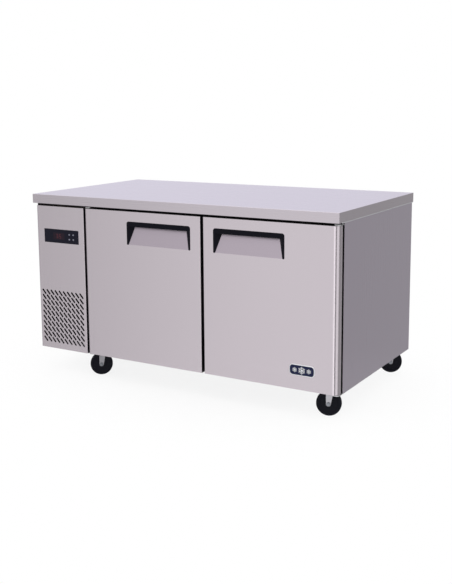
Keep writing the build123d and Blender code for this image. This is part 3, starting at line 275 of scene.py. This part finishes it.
def material_set():
    """Materials of the record's slots, and four more for details that the meshes add."""
    return {
        "worktop_steel": brushed_steel("worktop_steel", (0.622, 0.57, 0.618), 0.28, "x"),
        "panel_steel": brushed_steel("panel_steel", (0.61, 0.552, 0.638), 0.28, "z", contrast=0.0035),
        "door_steel": brushed_steel("door_steel", (0.66, 0.60, 0.645), 0.24, "z"),
        "scoop_steel": brushed_steel("scoop_steel", (0.49, 0.43, 0.49), 0.36, "x"),
        "liner_steel": brushed_steel("liner_steel", (0.66, 0.655, 0.67), 0.42, "z"),
        "galvanised_sheet": galvanised("galvanised_sheet", (0.6, 0.61, 0.62), 0.45),
        "hinge_zinc": plated_steel("hinge_zinc", (0.58, 0.58, 0.6), 0.35),
        "zinc_steel": plated_steel("zinc_steel", (0.44, 0.43, 0.46), 0.38),
        "shelf_wire": plated_steel("shelf_wire", (0.72, 0.73, 0.75), 0.3),
        "fin_aluminium": plated_steel("fin_aluminium", (0.8, 0.81, 0.82), 0.4),
        "condenser_paint": painted("condenser_paint", (0.010, 0.010, 0.012), 0.5, coat=0.0, specular=0.15),
        "compressor_paint": painted("compressor_paint", (0.022, 0.022, 0.024), 0.25),
        "motor_paint": painted("motor_paint", (0.08, 0.08, 0.085), 0.4),
        "copper_tube": plated_steel("copper_tube", (0.72, 0.40, 0.26), 0.35),
        "foam": foam("foam", (0.86, 0.78, 0.55)),
        "board_core": foam("board_core", (0.72, 0.66, 0.5)),
        "black_plastic": moulded_plastic("black_plastic", (0.008, 0.008, 0.010), 0.5, specular=0.15),
        # Face frame in black: painted shade, a dark sheet behind the door gaps so they show as black as the shade
        # in them
        "frame_black": moulded_plastic("frame_black", (0.005, 0.005, 0.006), 0.6, specular=0.1),
        "handle_black": moulded_plastic("handle_black", (0.004, 0.004, 0.008), 0.42, specular=0.08),
        "controller_black": moulded_plastic("controller_black", (0.007, 0.007, 0.016), 0.38, specular=0.13),
        "window_tint": moulded_plastic("window_tint", (0.014, 0.006, 0.014), 0.25, specular=0.2),
        "key_grey": moulded_plastic("key_grey", (0.16, 0.16, 0.18), 0.4, specular=0.3),
        "badge_blue": moulded_plastic("badge_blue", (0.004, 0.008, 0.045), 0.25, specular=0.25),
        "gasket_rubber": rubber("gasket_rubber", (0.09, 0.09, 0.095), 0.6),
        "white_plastic": moulded_plastic("white_plastic", (0.75, 0.75, 0.74), 0.4),
        "wheel_black": rubber("wheel_black", (0.005, 0.005, 0.009), 0.5, specular=0.1),
        # Dark zinc of the axle bolts; on the side panels' folded edges the same material is a painted shade line
        "bolt_zinc_and_painted_shade": plated_steel("bolt_zinc_and_painted_shade", (0.26, 0.27, 0.30), 0.4),
        # Bright trim of the badge; on the worktop's hems the same material is a painted highlight
        "bright_trim_and_painted_highlight": plated_steel("bright_trim_and_painted_highlight", (0.86, 0.87, 0.90), 0.35),
        "readout_red": glowing_plastic("readout_red", (0.10, 0.010, 0.020), 0.4),
        "symbol_white": moulded_plastic("symbol_white", (0.27, 0.27, 0.38), 0.45, specular=0.2),
    }


# ---- mesh building ------------------------------------------------------------------------------
AXES = {"x": (1, 2, 0), "y": (0, 2, 1), "z": (0, 1, 2)}
SHARP_ANGLE = math.radians(38.0)
BEVEL_ANGLE = math.radians(40.0)


def point(axis, u, v, w):
    """Point from two values in the plane across an axis and one along it."""
    place = [0.0, 0.0, 0.0]
    for index, value in zip(AXES[axis], (u, v, w)):
        place[index] = value
    return Vector(place)


def arc(centre, radius, start, end, steps):
    """Points of a circular arc, in degrees."""
    turns = [math.radians(start + (end - start) * step / steps) for step in range(steps + 1)]
    return [(centre[0] + radius * math.cos(turn), centre[1] + radius * math.sin(turn)) for turn in turns]


def rounded_rectangle(width, height, radius, steps=8):
    """Outline of a rectangle about the origin with round corners."""
    outline = []
    for index, (sx, sy) in enumerate(((1, 1), (-1, 1), (-1, -1), (1, -1))):
        centre = (sx * (width / 2 - radius), sy * (height / 2 - radius))
        outline += arc(centre, radius, 90.0 * index, 90.0 * index + 90.0, steps)
    return outline


class Form:
    """A mesh in the making, in millimetres of the CAD frame."""

    def __init__(self):
        self.mesh = bmesh.new()

    def loft(self, loops, closed_ends=True, ring=False):
        """Skin over loops of equal length; the last loop joins the first one in a ring."""
        rows = [[self.mesh.verts.new(place) for place in loop] for loop in loops]
        pairs = list(zip(rows, rows[1:]))
        if ring:
            pairs.append((rows[-1], rows[0]))
        for a, b in pairs:
            for index in range(len(a)):
                following = (index + 1) % len(a)
                self.mesh.faces.new((a[index], a[following], b[following], b[index]))
        if closed_ends and not ring:
            self.mesh.faces.new(reversed(rows[0]))
            self.mesh.faces.new(rows[-1])

    def prism(self, outline, axis, low, high, edge=0.0):
        """Outline raised along an axis, with its two rims chamfered by edge."""
        mid_u = sum(u for u, _ in outline) / len(outline)
        mid_v = sum(v for _, v in outline) / len(outline)
        reach = max(math.dist((mid_u, mid_v), place) for place in outline)

        def section(inset, w):
            share = 1.0 - inset / reach
            drawn_in = [(mid_u + (u - mid_u) * share, mid_v + (v - mid_v) * share) for u, v in outline]
            return [point(axis, u, v, w) for u, v in drawn_in]

        levels = [(0.0, low), (0.0, high)]
        if edge:
            levels = [(edge, low), (0.0, low + edge), (0.0, high - edge), (edge, high)]
        self.loft([section(inset, w) for inset, w in levels])

    def revolve(self, profile, axis, centre, steps=64, ring=False):
        """Profile of (radius, along) pairs turned about an axis through centre."""
        loops = []
        for radius, along in profile:
            turns = [2 * math.pi * step / steps for step in range(steps)]
            loops.append([point(axis, centre[0] + radius * math.cos(t), centre[1] + radius * math.sin(t),
                                centre[2] + along) for t in turns])
        self.loft(loops, ring=ring)

    def tube(self, points, radius, sides=12):
        """Round bar through points."""
        loops = []
        for index, place in enumerate(points):
            ahead = points[min(index + 1, len(points) - 1)]
            behind = points[max(index - 1, 0)]
            turn = (Vector(ahead) - Vector(behind)).to_track_quat("Z", "X")
            loops.append([Vector(place) + turn @ Vector((radius * math.cos(t), radius * math.sin(t), 0.0))
                          for t in (2 * math.pi * side / sides for side in range(sides))])
        self.loft(loops)

    def move(self, matrix):
        bmesh.ops.transform(self.mesh, matrix=matrix, verts=self.mesh.verts)

    def add(self, other):
        """Takes in another form's mesh, which ends that form."""
        carrier = bpy.data.meshes.new("carrier")
        other.mesh.to_mesh(carrier)
        other.mesh.free()
        self.mesh.from_mesh(carrier)
        bpy.data.meshes.remove(carrier)

    def piece(self, name, body, slot, material, replaces=None, bevel=0.0):
        """Turns the form into a scene piece that rides on a body."""
        bmesh.ops.recalc_face_normals(self.mesh, faces=self.mesh.faces)
        bmesh.ops.scale(self.mesh, vec=(MM, MM, MM), verts=self.mesh.verts)
        data = bpy.data.meshes.new(name)
        self.mesh.to_mesh(data)
        self.mesh.free()
        data.polygons.foreach_set("use_smooth", [True] * len(data.polygons))
        data.set_sharp_from_angle(angle=SHARP_ANGLE)
        made = bpy.data.objects.new(name, data)
        bpy.context.scene.collection.objects.link(made)
        data.materials.append(material)
        if bevel:
            rounding = made.modifiers.new("rounding", "BEVEL")
            rounding.width = bevel * MM
            rounding.segments = 3
            rounding.limit_method = "ANGLE"
            rounding.angle_limit = BEVEL_ANGLE
            rounding.harden_normals = True
        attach(made, body)
        if replaces:
            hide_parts(replaces)
        return made


def box_of(node):
    """Lowest and highest corner of a CAD node, in millimetres."""
    low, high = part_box(node)
    return Vector(low) / MM, Vector(high) / MM


# ---- casters ------------------------------------------------------------------------------------
CASTER_HEADING = {"front_left": 37.0, "front_right": 17.0, "rear_left": 28.0, "rear_right": 20.0}
CASTER_OFFSET = 35.0  # swivel axis to wheel axle
WHEEL_HALF = 15.0  # half the hub's length
TREAD_HALF = 14.0
RIB_COUNT = 10
RIB_FOOT = 11.0  # start and end of a rib, from the wheel's middle
RIB_TOP = 12.3
LEG_INSIDE = WHEEL_HALF + 1.2
LEG_OUTSIDE = WHEEL_HALF + 4.2
LEG_END_RADIUS = 9.5
BEAD_RISE = 0.9
BOLT_RADIUS = 4.0
WASHER_RADIUS = 8.2
WASHER = 0.9  # thickness
NUT_RADIUS = 7.0
NUT = 3.1  # height


def joint_place(name):
    joint = next(j for j in frame["joints"] if j["name"] == name)
    return Vector(joint["pos_m"]) / MM


def heading_turn(corner):
    return Matrix.Rotation(math.radians(CASTER_HEADING[corner]), 4, "Z")


def caster_place(corner):
    """Matrix from a caster's own frame, wheel towards -X, to the CAD frame."""
    swivel = joint_place(f"{corner}_swivel")
    return Matrix.Translation((swivel.x, swivel.y, 0.0)) @ heading_turn(corner)


def wheel_profile(radius):
    """Section of the wheel as (radius, along) pairs, from its hub over the crown of its tread and back."""
    hub = [(4.1, WHEEL_HALF), (11.5, WHEEL_HALF), (12.6, 14.6), (13.4, 13.4), (15.0, 11.8)]
    dish = [(18.0, 11.2), (33.0, 11.2), (35.2, 11.8), (36.6, 13.2)]
    moulded_ring = [(37.8, -0.2), (39.6, 0.0), (40.0, -0.9), (40.9, -0.9), (41.4, 0.0)]
    tread = [(46.5, 0.0), (48.3, -0.2), (49.4, -0.8), (50.1, -2.2), (50.6, -5.0), (radius, -9.0)]
    half = hub + dish + [(r, TREAD_HALF + inset) for r, inset in moulded_ring + tread]
    return [(r, -a) for r, a in half] + [(r, a) for r, a in reversed(half)]


def build_wheel(corner, materials):
    """Moulded wheel with a crowned tread, a moulded ring, a dish with ribs and a raised hub."""
    axle = joint_place(f"{corner}_wheel_spin")
    form = Form()
    form.revolve(wheel_profile(axle.z), "y", (0.0, 0.0, 0.0), steps=96, ring=True)
    rib_outline = [(13.0, -1.1), (35.5, -1.6), (35.5, 1.6), (13.0, 1.1)]
    for side in (-1, 1):
        foot, top = sorted((side * RIB_FOOT, side * RIB_TOP))
        for index in range(RIB_COUNT):
            rib = Form()
            rib.prism(rib_outline, "y", foot, top)
            rib.move(Matrix.Rotation(2 * math.pi * index / RIB_COUNT, 4, "Y"))
            form.add(rib)
    form.move(Matrix.Translation(axle) @ heading_turn(corner))
    body = f"{corner}_wheel"
    form.piece(f"{corner}_tyre", body, "wheel_black", materials["wheel_black"], body)


def build_fork(corner, materials):
    """Pressed fork: a crown with its race, and two shaped legs with a bead."""
    axle_z = joint_place(f"{corner}_wheel_spin").z
    form = Form()
    crown = [(7.2, 105.0), (24.0, 105.0), (25.0, 105.8), (25.0, 112.0)]
    race = [(23.6, 113.2), (23.6, 114.2), (25.0, 115.4), (25.0, 118.4)]
    top = [(24.2, 120.0), (22.4, 121.0), (7.2, 121.0)]
    form.revolve(crown + race + top, "z", (0.0, 0.0, 0.0), steps=72, ring=True)
    leg = arc((-CASTER_OFFSET, axle_z), LEG_END_RADIUS, 180.0, 346.0, 22)
    leg += [(-18.0, 88.0), (-15.0, 92.0), (16.0, 104.0), (16.0, 108.0)]
    leg += [(-20.0, 108.0), (-24.0, 101.0), (-44.0, 92.0), (-45.0, 87.0)]
    bead = arc((-CASTER_OFFSET, axle_z + 14.0), 2.6, 180.0, 360.0, 8)
    bead += arc((2.5 - CASTER_OFFSET, axle_z + 33.0), 3.4, 0.0, 180.0, 8)
    bead_foot, bead_top = LEG_OUTSIDE - 0.2, LEG_OUTSIDE + BEAD_RISE
    for side in (-1, 1):
        form.prism(leg, "y", *sorted((side * LEG_INSIDE, side * LEG_OUTSIDE)), edge=0.5)
        form.prism(bead, "y", *sorted((side * bead_foot, side * bead_top)), edge=0.5)
    form.move(caster_place(corner))
    body = f"{corner}_fork"
    form.piece(f"{corner}_fork_pressing", body, "zinc_steel", materials["zinc_steel"], body)


def build_axle_bolt(corner, materials):
    """Axle bolt with a washer, head and nut, and its threaded end."""
    axle_z = joint_place(f"{corner}_wheel_spin").z
    centre = (-CASTER_OFFSET, axle_z, 0.0)
    form = Form()

    def disc(radius, start, end, steps=64):
        form.revolve([(0.01, start), (radius, start), (radius, end), (0.01, end)], "y", centre, steps)

    disc(BOLT_RADIUS, -LEG_OUTSIDE, LEG_OUTSIDE, steps=32)
    hexagon = arc((-CASTER_OFFSET, axle_z), NUT_RADIUS, 0.0, 300.0, 5)
    nut_start = LEG_OUTSIDE + WASHER
    for side in (-1, 1):
        disc(WASHER_RADIUS, *sorted((side * LEG_OUTSIDE, side * nut_start)))
        form.prism(hexagon, "y", *sorted((side * nut_start, side * (nut_start + NUT))), edge=0.6)
    threaded_end = [(0.01, 20.0), (3.6, 20.0), (3.6, 24.2), (3.0, 24.8), (0.01, 24.8)]
    form.revolve(threaded_end, "y", centre, steps=24)
    form.move(caster_place(corner))
    form.piece(f"{corner}_axle_bolt", f"{corner}_fork", "zinc_steel", materials["bolt_zinc_and_painted_shade"])


# ---- controller ---------------------------------------------------------------------------------
READ_OUT = "35"
SEGMENTS = {"3": "abgcd", "5": "afgcd"}
DIGIT_HEIGHT = 17.0
DIGIT_WIDTH = 9.5
DIGIT_GAP = 8.0
DIGIT_PLACE = (18.0, 6.5)  # first digit's lower left corner on the window
DOT_PLACE = 4.2  # right of the first digit
DOT_RADIUS = 1.0
BAR = 1.5  # thickness of a read-out bar
RELIEF = 0.12  # of read-out bars and key symbols
RIM_INSET = 3.3  # rim's outside from the bezel's edge
RIM_CORNER = 2.6


def read_out_bars(digit, left, bottom):
    """Outlines of one digit's bars."""
    half = DIGIT_HEIGHT / 2
    right = left + DIGIT_WIDTH
    level = {"a": bottom + DIGIT_HEIGHT, "g": bottom + half, "d": bottom}
    upright = {"f": (left, bottom + half), "b": (right, bottom + half), "c": (right, bottom)}
    for name in SEGMENTS[digit]:
        length = DIGIT_WIDTH if name in level else half
        near, far = BAR / 2 + 0.4, length - BAR / 2 - 0.4
        shape = [(0.4, 0.0), (near, BAR / 2), (far, BAR / 2)]
        shape += [(length - 0.4, 0.0), (far, -BAR / 2), (near, -BAR / 2)]
        if name in level:
            yield [(left + along, level[name] + across) for along, across in shape]
        else:
            yield [(upright[name][0] + across, upright[name][1] + along) for along, across in shape]


def build_read_out(materials):
    """Dim red digits and a dot on the window."""
    low, _ = box_of("controller_window")
    depth = (low.y - RELIEF, low.y + 0.05)
    left, bottom = low.x + DIGIT_PLACE[0], low.z + DIGIT_PLACE[1]
    form = Form()
    for index, digit in enumerate(READ_OUT):
        for outline in read_out_bars(digit, left + index * (DIGIT_WIDTH + DIGIT_GAP), bottom):
            form.prism(outline, "y", *depth)
    form.prism(arc((left + DIGIT_WIDTH + DOT_PLACE, bottom), DOT_RADIUS, 0.0, 330.0, 11), "y", *depth)
    form.piece("readout_digits", "root", "window_tint", materials["readout_red"])


def build_controller_rim(materials):
    """Raised rim of the bezel."""
    low, high = box_of("controller_bezel")
    centre = ((low.x + high.x) / 2, (low.z + high.z) / 2)
    width, height = high.x - low.x - 2 * RIM_INSET, high.z - low.z - 2 * RIM_INSET
    section = [(0.0, 0.1), (0.0, -0.4), (0.5, -0.9), (1.4, -0.9), (1.9, -0.4), (1.9, 0.1)]
    loops = []
    for inset, out in section:
        corner = RIM_CORNER - inset * 0.5
        outline = rounded_rectangle(width - 2 * inset, height - 2 * inset, corner, 4)
        loops.append([point("y", centre[0] + u, centre[1] + v, low.y + out) for u, v in outline])
    form = Form()
    form.loft(loops, closed_ends=False, ring=True)
    form.piece("controller_rim", "root", "controller_black", materials["controller_black"])


def turned(outline, turn):
    """Outline turned about its origin."""
    cos, sin = math.cos(turn), math.sin(turn)
    return [(u * cos - v * sin, u * sin + v * cos) for u, v in outline]


def key_symbols():
    """Outlines of each key's symbol: arrows, a disc and a six-armed star of three bars."""
    bar = [(-3.1, -0.65), (3.1, -0.65), (3.1, 0.65), (-3.1, 0.65)]
    return {
        "key_up": [[(-3.2, -2.2), (3.2, -2.2), (0.0, 2.8)]],
        "key_down": [[(-3.2, 2.2), (0.0, -2.8), (3.2, 2.2)]],
        "key_set": [arc((0.0, 0.0), 2.8, 0.0, 330.0, 11)],
        "key_defrost": [turned(bar, math.radians(angle)) for angle in (30.0, 90.0, 150.0)],
    }


def build_key_symbols(materials):
    for key, outlines in key_symbols().items():
        low, high = box_of(key)
        form = Form()
        for index, outline in enumerate(outlines):
            placed = [((low.x + high.x) / 2 + u, (low.z + high.z) / 2 + v) for u, v in outline]
            form.prism(placed, "y", low.y - RELIEF - 0.01 * index, low.y + 0.1)
        form.piece(f"{key}_symbol", key, "key_grey", materials["symbol_white"])


# ---- badge --------------------------------------------------------------------------------------
BADGE_CORNER = 16.0
FROST_STARS = [(-31.0, 0.68), (0.0, 1.03), (31.0, 0.68)]  # place along the badge and size
STAR_BACK = 1.7  # stars' back and front from the badge's back
STAR_FRONT = 2.45


def badge_loop(inset, out):
    """Outline of the badge, drawn in by inset and raised from the door by out."""
    low, high = box_of("door_badge")
    width, height = high.x - low.x - 2 * inset, high.z - low.z - 2 * inset
    outline = rounded_rectangle(width, height, max(BADGE_CORNER - inset, 1.0), 10)
    return [point("y", (low.x + high.x) / 2 + u, (low.z + high.z) / 2 + v, high.y - out) for u, v in outline]


def build_badge_field(materials):
    """Domed blue field."""
    dome = [(3.3, 0.02), (3.3, 1.3), (4.4, 1.5), (6.4, 1.72), (9.2, 1.88), (13.0, 1.98), (18.0, 2.04),
            (22.6, 2.06)]
    form = Form()
    form.loft([badge_loop(inset, out) for inset, out in dome])
    form.piece("badge_field", "right_door", "badge_blue", materials["badge_blue"], "door_badge")


def build_badge_rim(materials):
    section = [(0.0, 0.02), (0.0, 1.2), (0.6, 2.0), (1.8, 2.4), (3.0, 2.2), (3.6, 1.4), (3.6, 0.02)]
    form = Form()
    form.loft([badge_loop(inset, out) for inset, out in section], closed_ends=False, ring=True)
    form.piece("badge_rim", "right_door", "zinc_steel", materials["bright_trim_and_painted_highlight"])


def star_arm():
    """Outlines of one arm of a frost star: its bar and two barbs."""
    lean_u, lean_v = 0.62, 0.78
    bars = [[(0.0, -1.4), (15.5, -1.1), (15.5, 1.1), (0.0, 1.4)]]
    for side in (-1, 1):
        barb = []
        for along, across in ((0.0, -1.0), (6.4, -1.0), (6.4, 1.0), (0.0, 1.0)):
            u = 7.2 + along * lean_u - side * across * lean_v
            v = side * (along * lean_v + 0.4) + across * lean_u
            barb.append((u, v))
        bars.append(barb)
    return bars


def build_badge_stars(materials):
    """Three six-armed frost stars."""
    low, high = box_of("door_badge")
    form = Form()
    for shift, size in FROST_STARS:
        middle = ((low.x + high.x) / 2 + shift, (low.z + high.z) / 2)
        for index in range(6):
            for bar in star_arm():
                arm = turned(bar, math.radians(60.0 * index + 30.0))
                outline = [(middle[0] + size * u, middle[1] + size * v) for u, v in arm]
                form.prism(outline, "y", high.y - STAR_FRONT - 0.01 * index, high.y - STAR_BACK)
    form.piece("badge_stars", "right_door", "zinc_steel", materials["bright_trim_and_painted_highlight"])


# ---- hems ---------------------------------------------------------------------------------------
HEM_RADIUS = 1.8
HEM_INSET = 2.0  # middle of the worktop's hem inside its side
HEM_DROP = 1.3  # and below its edge
HEM_FRONT = 34.0  # start of the hem behind the worktop's front
HEM_REAR = 4.0  # end of the hem before the worktop's back
PANEL_HEM = (2.0, 3.2)  # width and height of the side panels' folded edge


def build_worktop_hem_highlight(side, outward, materials):
    """Round hem along the lower edge of one side of the worktop, in bright trim steel lighter than the worktop: a
    painted highlight along that edge.
    """
    low, high = box_of("worktop")
    x = (low if outward < 0 else high).x - outward * HEM_INSET
    z = low.z - HEM_DROP
    form = Form()
    form.tube([(x, low.y + HEM_FRONT, z), (x, high.y - HEM_REAR, z)], HEM_RADIUS, sides=20)
    form.piece(f"worktop_{side}_hem", "root", "worktop_steel", materials["bright_trim_and_painted_highlight"], bevel=0.5)


def build_panel_hem_shade(side, outward, materials):
    """Folded lower edge of one side panel, in dark zinc rather than the panel's steel: a painted shade line along
    the panel's foot.
    """
    low, high = box_of(f"{side}_side_panel")
    middle = (low if outward < 0 else high).x - outward * 1.1
    outline = [(middle + u, low.z + v) for u, v in rounded_rectangle(*PANEL_HEM, 0.95, 5)]
    form = Form()
    form.prism(outline, "y", low.y + 1.0, high.y - 1.0, edge=0.3)
    form.piece(f"{side}_panel_hem", "root", "panel_steel", materials["bolt_zinc_and_painted_shade"])


# ---- gaskets ------------------------------------------------------------------------------------
def build_gasket(side, materials):
    """Mitred magnetic gasket with bellows folds on both flanks."""
    low, high = box_of(f"{side}_door_gasket")
    profile = [(0.4, 0.0), (0.4, 1.4), (2.6, 2.3), (0.3, 3.4), (0.3, 6.2), (1.2, 7.3), (2.6, 7.5),
               (11.4, 7.5), (12.8, 7.3), (13.7, 6.2), (13.7, 3.4), (11.4, 2.3), (13.6, 1.4), (13.6, 0.0)]
    loops = []
    for inset, out in profile:
        x = (low.x + inset, high.x - inset)
        z = (low.z + inset, high.z - inset)
        corners = [(x[0], z[0]), (x[1], z[0]), (x[1], z[1]), (x[0], z[1])]
        loops.append([point("y", u, v, low.y + out) for u, v in corners])
    form = Form()
    form.loft(loops, closed_ends=False, ring=True)
    form.piece(f"{side}_door_seal", f"{side}_door", "gasket_rubber", materials["gasket_rubber"],
               f"{side}_door_gasket", bevel=0.35)


# ---- fans ---------------------------------------------------------------------------------------
BLADES = 5
BLADE_SECTIONS = 9
HUB_SHARE = 0.26  # of the fan's radius
FAN_TURN = {"x": Matrix.Rotation(math.pi / 2, 4, "Y"), "y": Matrix.Rotation(math.pi / 2, 4, "X")}


def blade_section(hub, radius, start, share, points=7):
    """Closed cambered section of a blade, at a share of its length from the hub."""
    r = hub - 1.0 + (radius - hub) * share
    sweep = 0.45 * share * share
    chord = math.radians(46.0 - 6.0 * share)
    pitch = math.radians(34.0 - 14.0 * share)
    upper, lower = [], []
    for index in range(points):
        t = index / (points - 1) - 0.5
        angle = start + sweep + chord * t
        height = chord * r * t * math.tan(pitch) * 0.62 + 1.8 * (1 - 4 * t * t)
        thick = 0.8 * (1 - 2.4 * t * t)
        for row, offset in ((upper, thick), (lower, -thick)):
            row.append(Vector((r * math.cos(angle), r * math.sin(angle), height + offset)))
    return upper + lower[::-1]


def build_fan(node, axis, materials, slot):
    """Moulded fan: a hub with a rounded nose and twisted, swept blades."""
    low, high = box_of(node)
    radius = (high.z - low.z) / 2
    hub = radius * HUB_SHARE
    nose = [(hub, 4.0), (hub - 1.0, 6.0), (hub - 4.0, 7.0), (3.4, 7.0)]
    form = Form()
    form.revolve([(3.4, -7.0), (hub - 1.0, -7.0), (hub, -6.0)] + nose, "z", (0.0, 0.0, 0.0), ring=True)
    shares = [index / (BLADE_SECTIONS - 1) for index in range(BLADE_SECTIONS)]
    for blade in range(BLADES):
        start = 2 * math.pi * blade / BLADES
        form.loft([blade_section(hub, radius, start, share) for share in shares])
    form.move(Matrix.Translation(joint_place(f"{node}_spin")) @ FAN_TURN[axis])
    form.piece(f"{node}_blades", node, slot, materials[slot], node)


def build_pieces(materials):
    for corner in CASTER_HEADING:
        build_wheel(corner, materials)
        build_fork(corner, materials)
        build_axle_bolt(corner, materials)
    build_read_out(materials)
    build_controller_rim(materials)
    build_key_symbols(materials)
    build_badge_field(materials)
    build_badge_rim(materials)
    build_badge_stars(materials)
    for side, outward in (("left", -1), ("right", 1)):
        build_worktop_hem_highlight(side, outward, materials)
        build_panel_hem_shade(side, outward, materials)
    for side in ("left", "right"):
        build_gasket(side, materials)
    build_fan("evaporator_fan", "x", materials, "black_plastic")
    build_fan("condenser_fan", "y", materials, "fin_aluminium")


# ---- stage --------------------------------------------------------------------------------------
FLOOR_REACH = (1.45, 1.15)  # half width and half depth
FLOOR_COVER = 0.15  # the floor is a thin veil, so that shadows on it stay faint
FLOOR_FADE = 0.25  # share of the reach where the veil starts to fade


def floor_paint():
    """Pale paint that fades out towards the floor's edge."""
    shader = Shader("floor_paint", (0.93, 0.93, 0.93), 0.9)
    shader.vary_color(shader.noise(3.0), 0.99, 1.0)
    distance = shader.node("ShaderNodeVectorMath")
    distance.operation = "LENGTH"
    shader.feed(distance.inputs[0], shader.place((1 / FLOOR_REACH[0], 1 / FLOOR_REACH[1], 1)))
    cover = shader.remap(distance.outputs["Value"], FLOOR_FADE, 1.0, FLOOR_COVER, 0.0, "SMOOTHERSTEP")
    shader.set("Alpha", cover)
    return shader.material


def add_floor():
    """Plain pale floor that fades into the white surround."""
    form = bmesh.new()
    bmesh.ops.create_circle(form, cap_ends=True, segments=96, radius=1.0)
    bmesh.ops.scale(form, vec=(*FLOOR_REACH, 1.0), verts=form.verts)
    mesh = bpy.data.meshes.new("floor")
    form.to_mesh(mesh)
    form.free()
    mesh.materials.append(floor_paint())
    floor = bpy.data.objects.new("floor", mesh)
    bpy.context.scene.collection.objects.link(floor)


# ---- light --------------------------------------------------------------------------------------
# Brightness of the studio walls by bearing: -180 to 180 degrees, 0 before the doors, positive to the left.
WALLS = [(-180, 0.45), (-159, 0.41), (-105, 0.30), (-96, 0.36), (-87, 0.95), (-50, 1.0), (-38, 0.2),
         (-23, 0.2), (-18, 1.65), (-5, 1.5), (6, 0.90), (17, 0.86), (24, 0.89), (28, 0.93), (31, 0.87),
         (36, 0.79), (39.5, 0.70), (42, 0.56), (60, 0.5), (90, 0.45), (120, 0.8), (141, 0.83), (160, 0.8),
         (171, 0.55)]
REAR_WALLS = (100, 175)  # bearings between which the walls are a cooler white
COOL_WHITE = (1.02, 1.02, 1.165)
WHITE = (1.0, 1.0, 1.0)
CEILING = (1.1, 1.1, 1.1)
CEILING_BLEND = (0.12, 0.75)  # sines of the heights between which the walls turn into the ceiling


def wall_color(graph, bearing):
    """Colour of the studio walls at a bearing in radians."""
    share = graph.math("ADD", graph.math("DIVIDE", bearing, 2 * math.pi), 0.5)
    ramp = graph.node("ShaderNodeValToRGB", Fac=share)
    stops = ramp.color_ramp.elements
    while len(stops) > 1:
        stops.remove(stops[-1])
    for index, (degrees, level) in enumerate(WALLS):
        position = degrees / 360.0 + 0.5
        stop = stops.new(position) if index else stops[0]
        stop.position = position
        tint = COOL_WHITE if REAR_WALLS[0] < degrees < REAR_WALLS[1] else WHITE
        stop.color = (*(level * part for part in tint), 1.0)
    return ramp.outputs["Color"]


def add_surround():
    """Studio room for reflections: walls brighter and darker by bearing, and a bright ceiling. The camera
    itself sees plain white."""
    world = bpy.data.worlds.new("studio")
    bpy.context.scene.world = world
    world.use_nodes = True
    graph = Graph(world.node_tree)
    direction = graph.node("ShaderNodeTexCoord").outputs["Generated"]
    x, y, z = graph.node("ShaderNodeSeparateXYZ", Vector=direction).outputs
    bearing = graph.math("ARCTAN2", graph.math("MULTIPLY", x, -1.0), graph.math("MULTIPLY", y, -1.0))
    height = graph.remap(z, *CEILING_BLEND, 0.0, 1.0, "SMOOTHSTEP")
    room = graph.tree.nodes["Background"]
    graph.feed(room.inputs["Color"], graph.mix(height, wall_color(graph, bearing), CEILING))
    backdrop = graph.node("ShaderNodeBackground", Color=(*WHITE, 1.0))
    seen = graph.node("ShaderNodeLightPath").outputs["Is Camera Ray"]
    chooser = graph.node("ShaderNodeMixShader", Fac=seen)
    graph.feed(chooser.inputs[1], room.outputs[0])
    graph.feed(chooser.inputs[2], backdrop.outputs[0])
    graph.feed(graph.tree.nodes["World Output"].inputs["Surface"], chooser.outputs[0])


def add_soft_box():
    """Large soft box overhead."""
    place, target = Vector((0.2, -0.6, 3.4)), Vector((0.0, 0.0, 0.4))
    data = bpy.data.lights.new("overhead", "AREA")
    data.shape = "RECTANGLE"
    data.size = 3.2
    data.size_y = 2.4
    data.energy = 16.0
    light = bpy.data.objects.new("overhead", data)
    light.location = place
    light.rotation_mode = "QUATERNION"
    light.rotation_quaternion = (target - place).to_track_quat("-Z", "Y")
    bpy.context.scene.collection.objects.link(light)


# ---- dress the CAD nodes ------------------------------------------------------------------------
def dress_frame(materials):
    """Gives every CAD node the material of its slot."""
    slots = {row["node"]: row["material_slot"] for row in frame["record"]["subparts"]}
    for name, piece in frame["nodes"].items():
        piece.data.materials.clear()
        piece.data.materials.append(materials[slots[name]])


MATERIALS = material_set()
dress_frame(MATERIALS)
build_pieces(MATERIALS)
add_floor()
add_surround()
add_soft_box()
add_camera()
bpy.context.scene.view_settings.view_transform = "Standard"
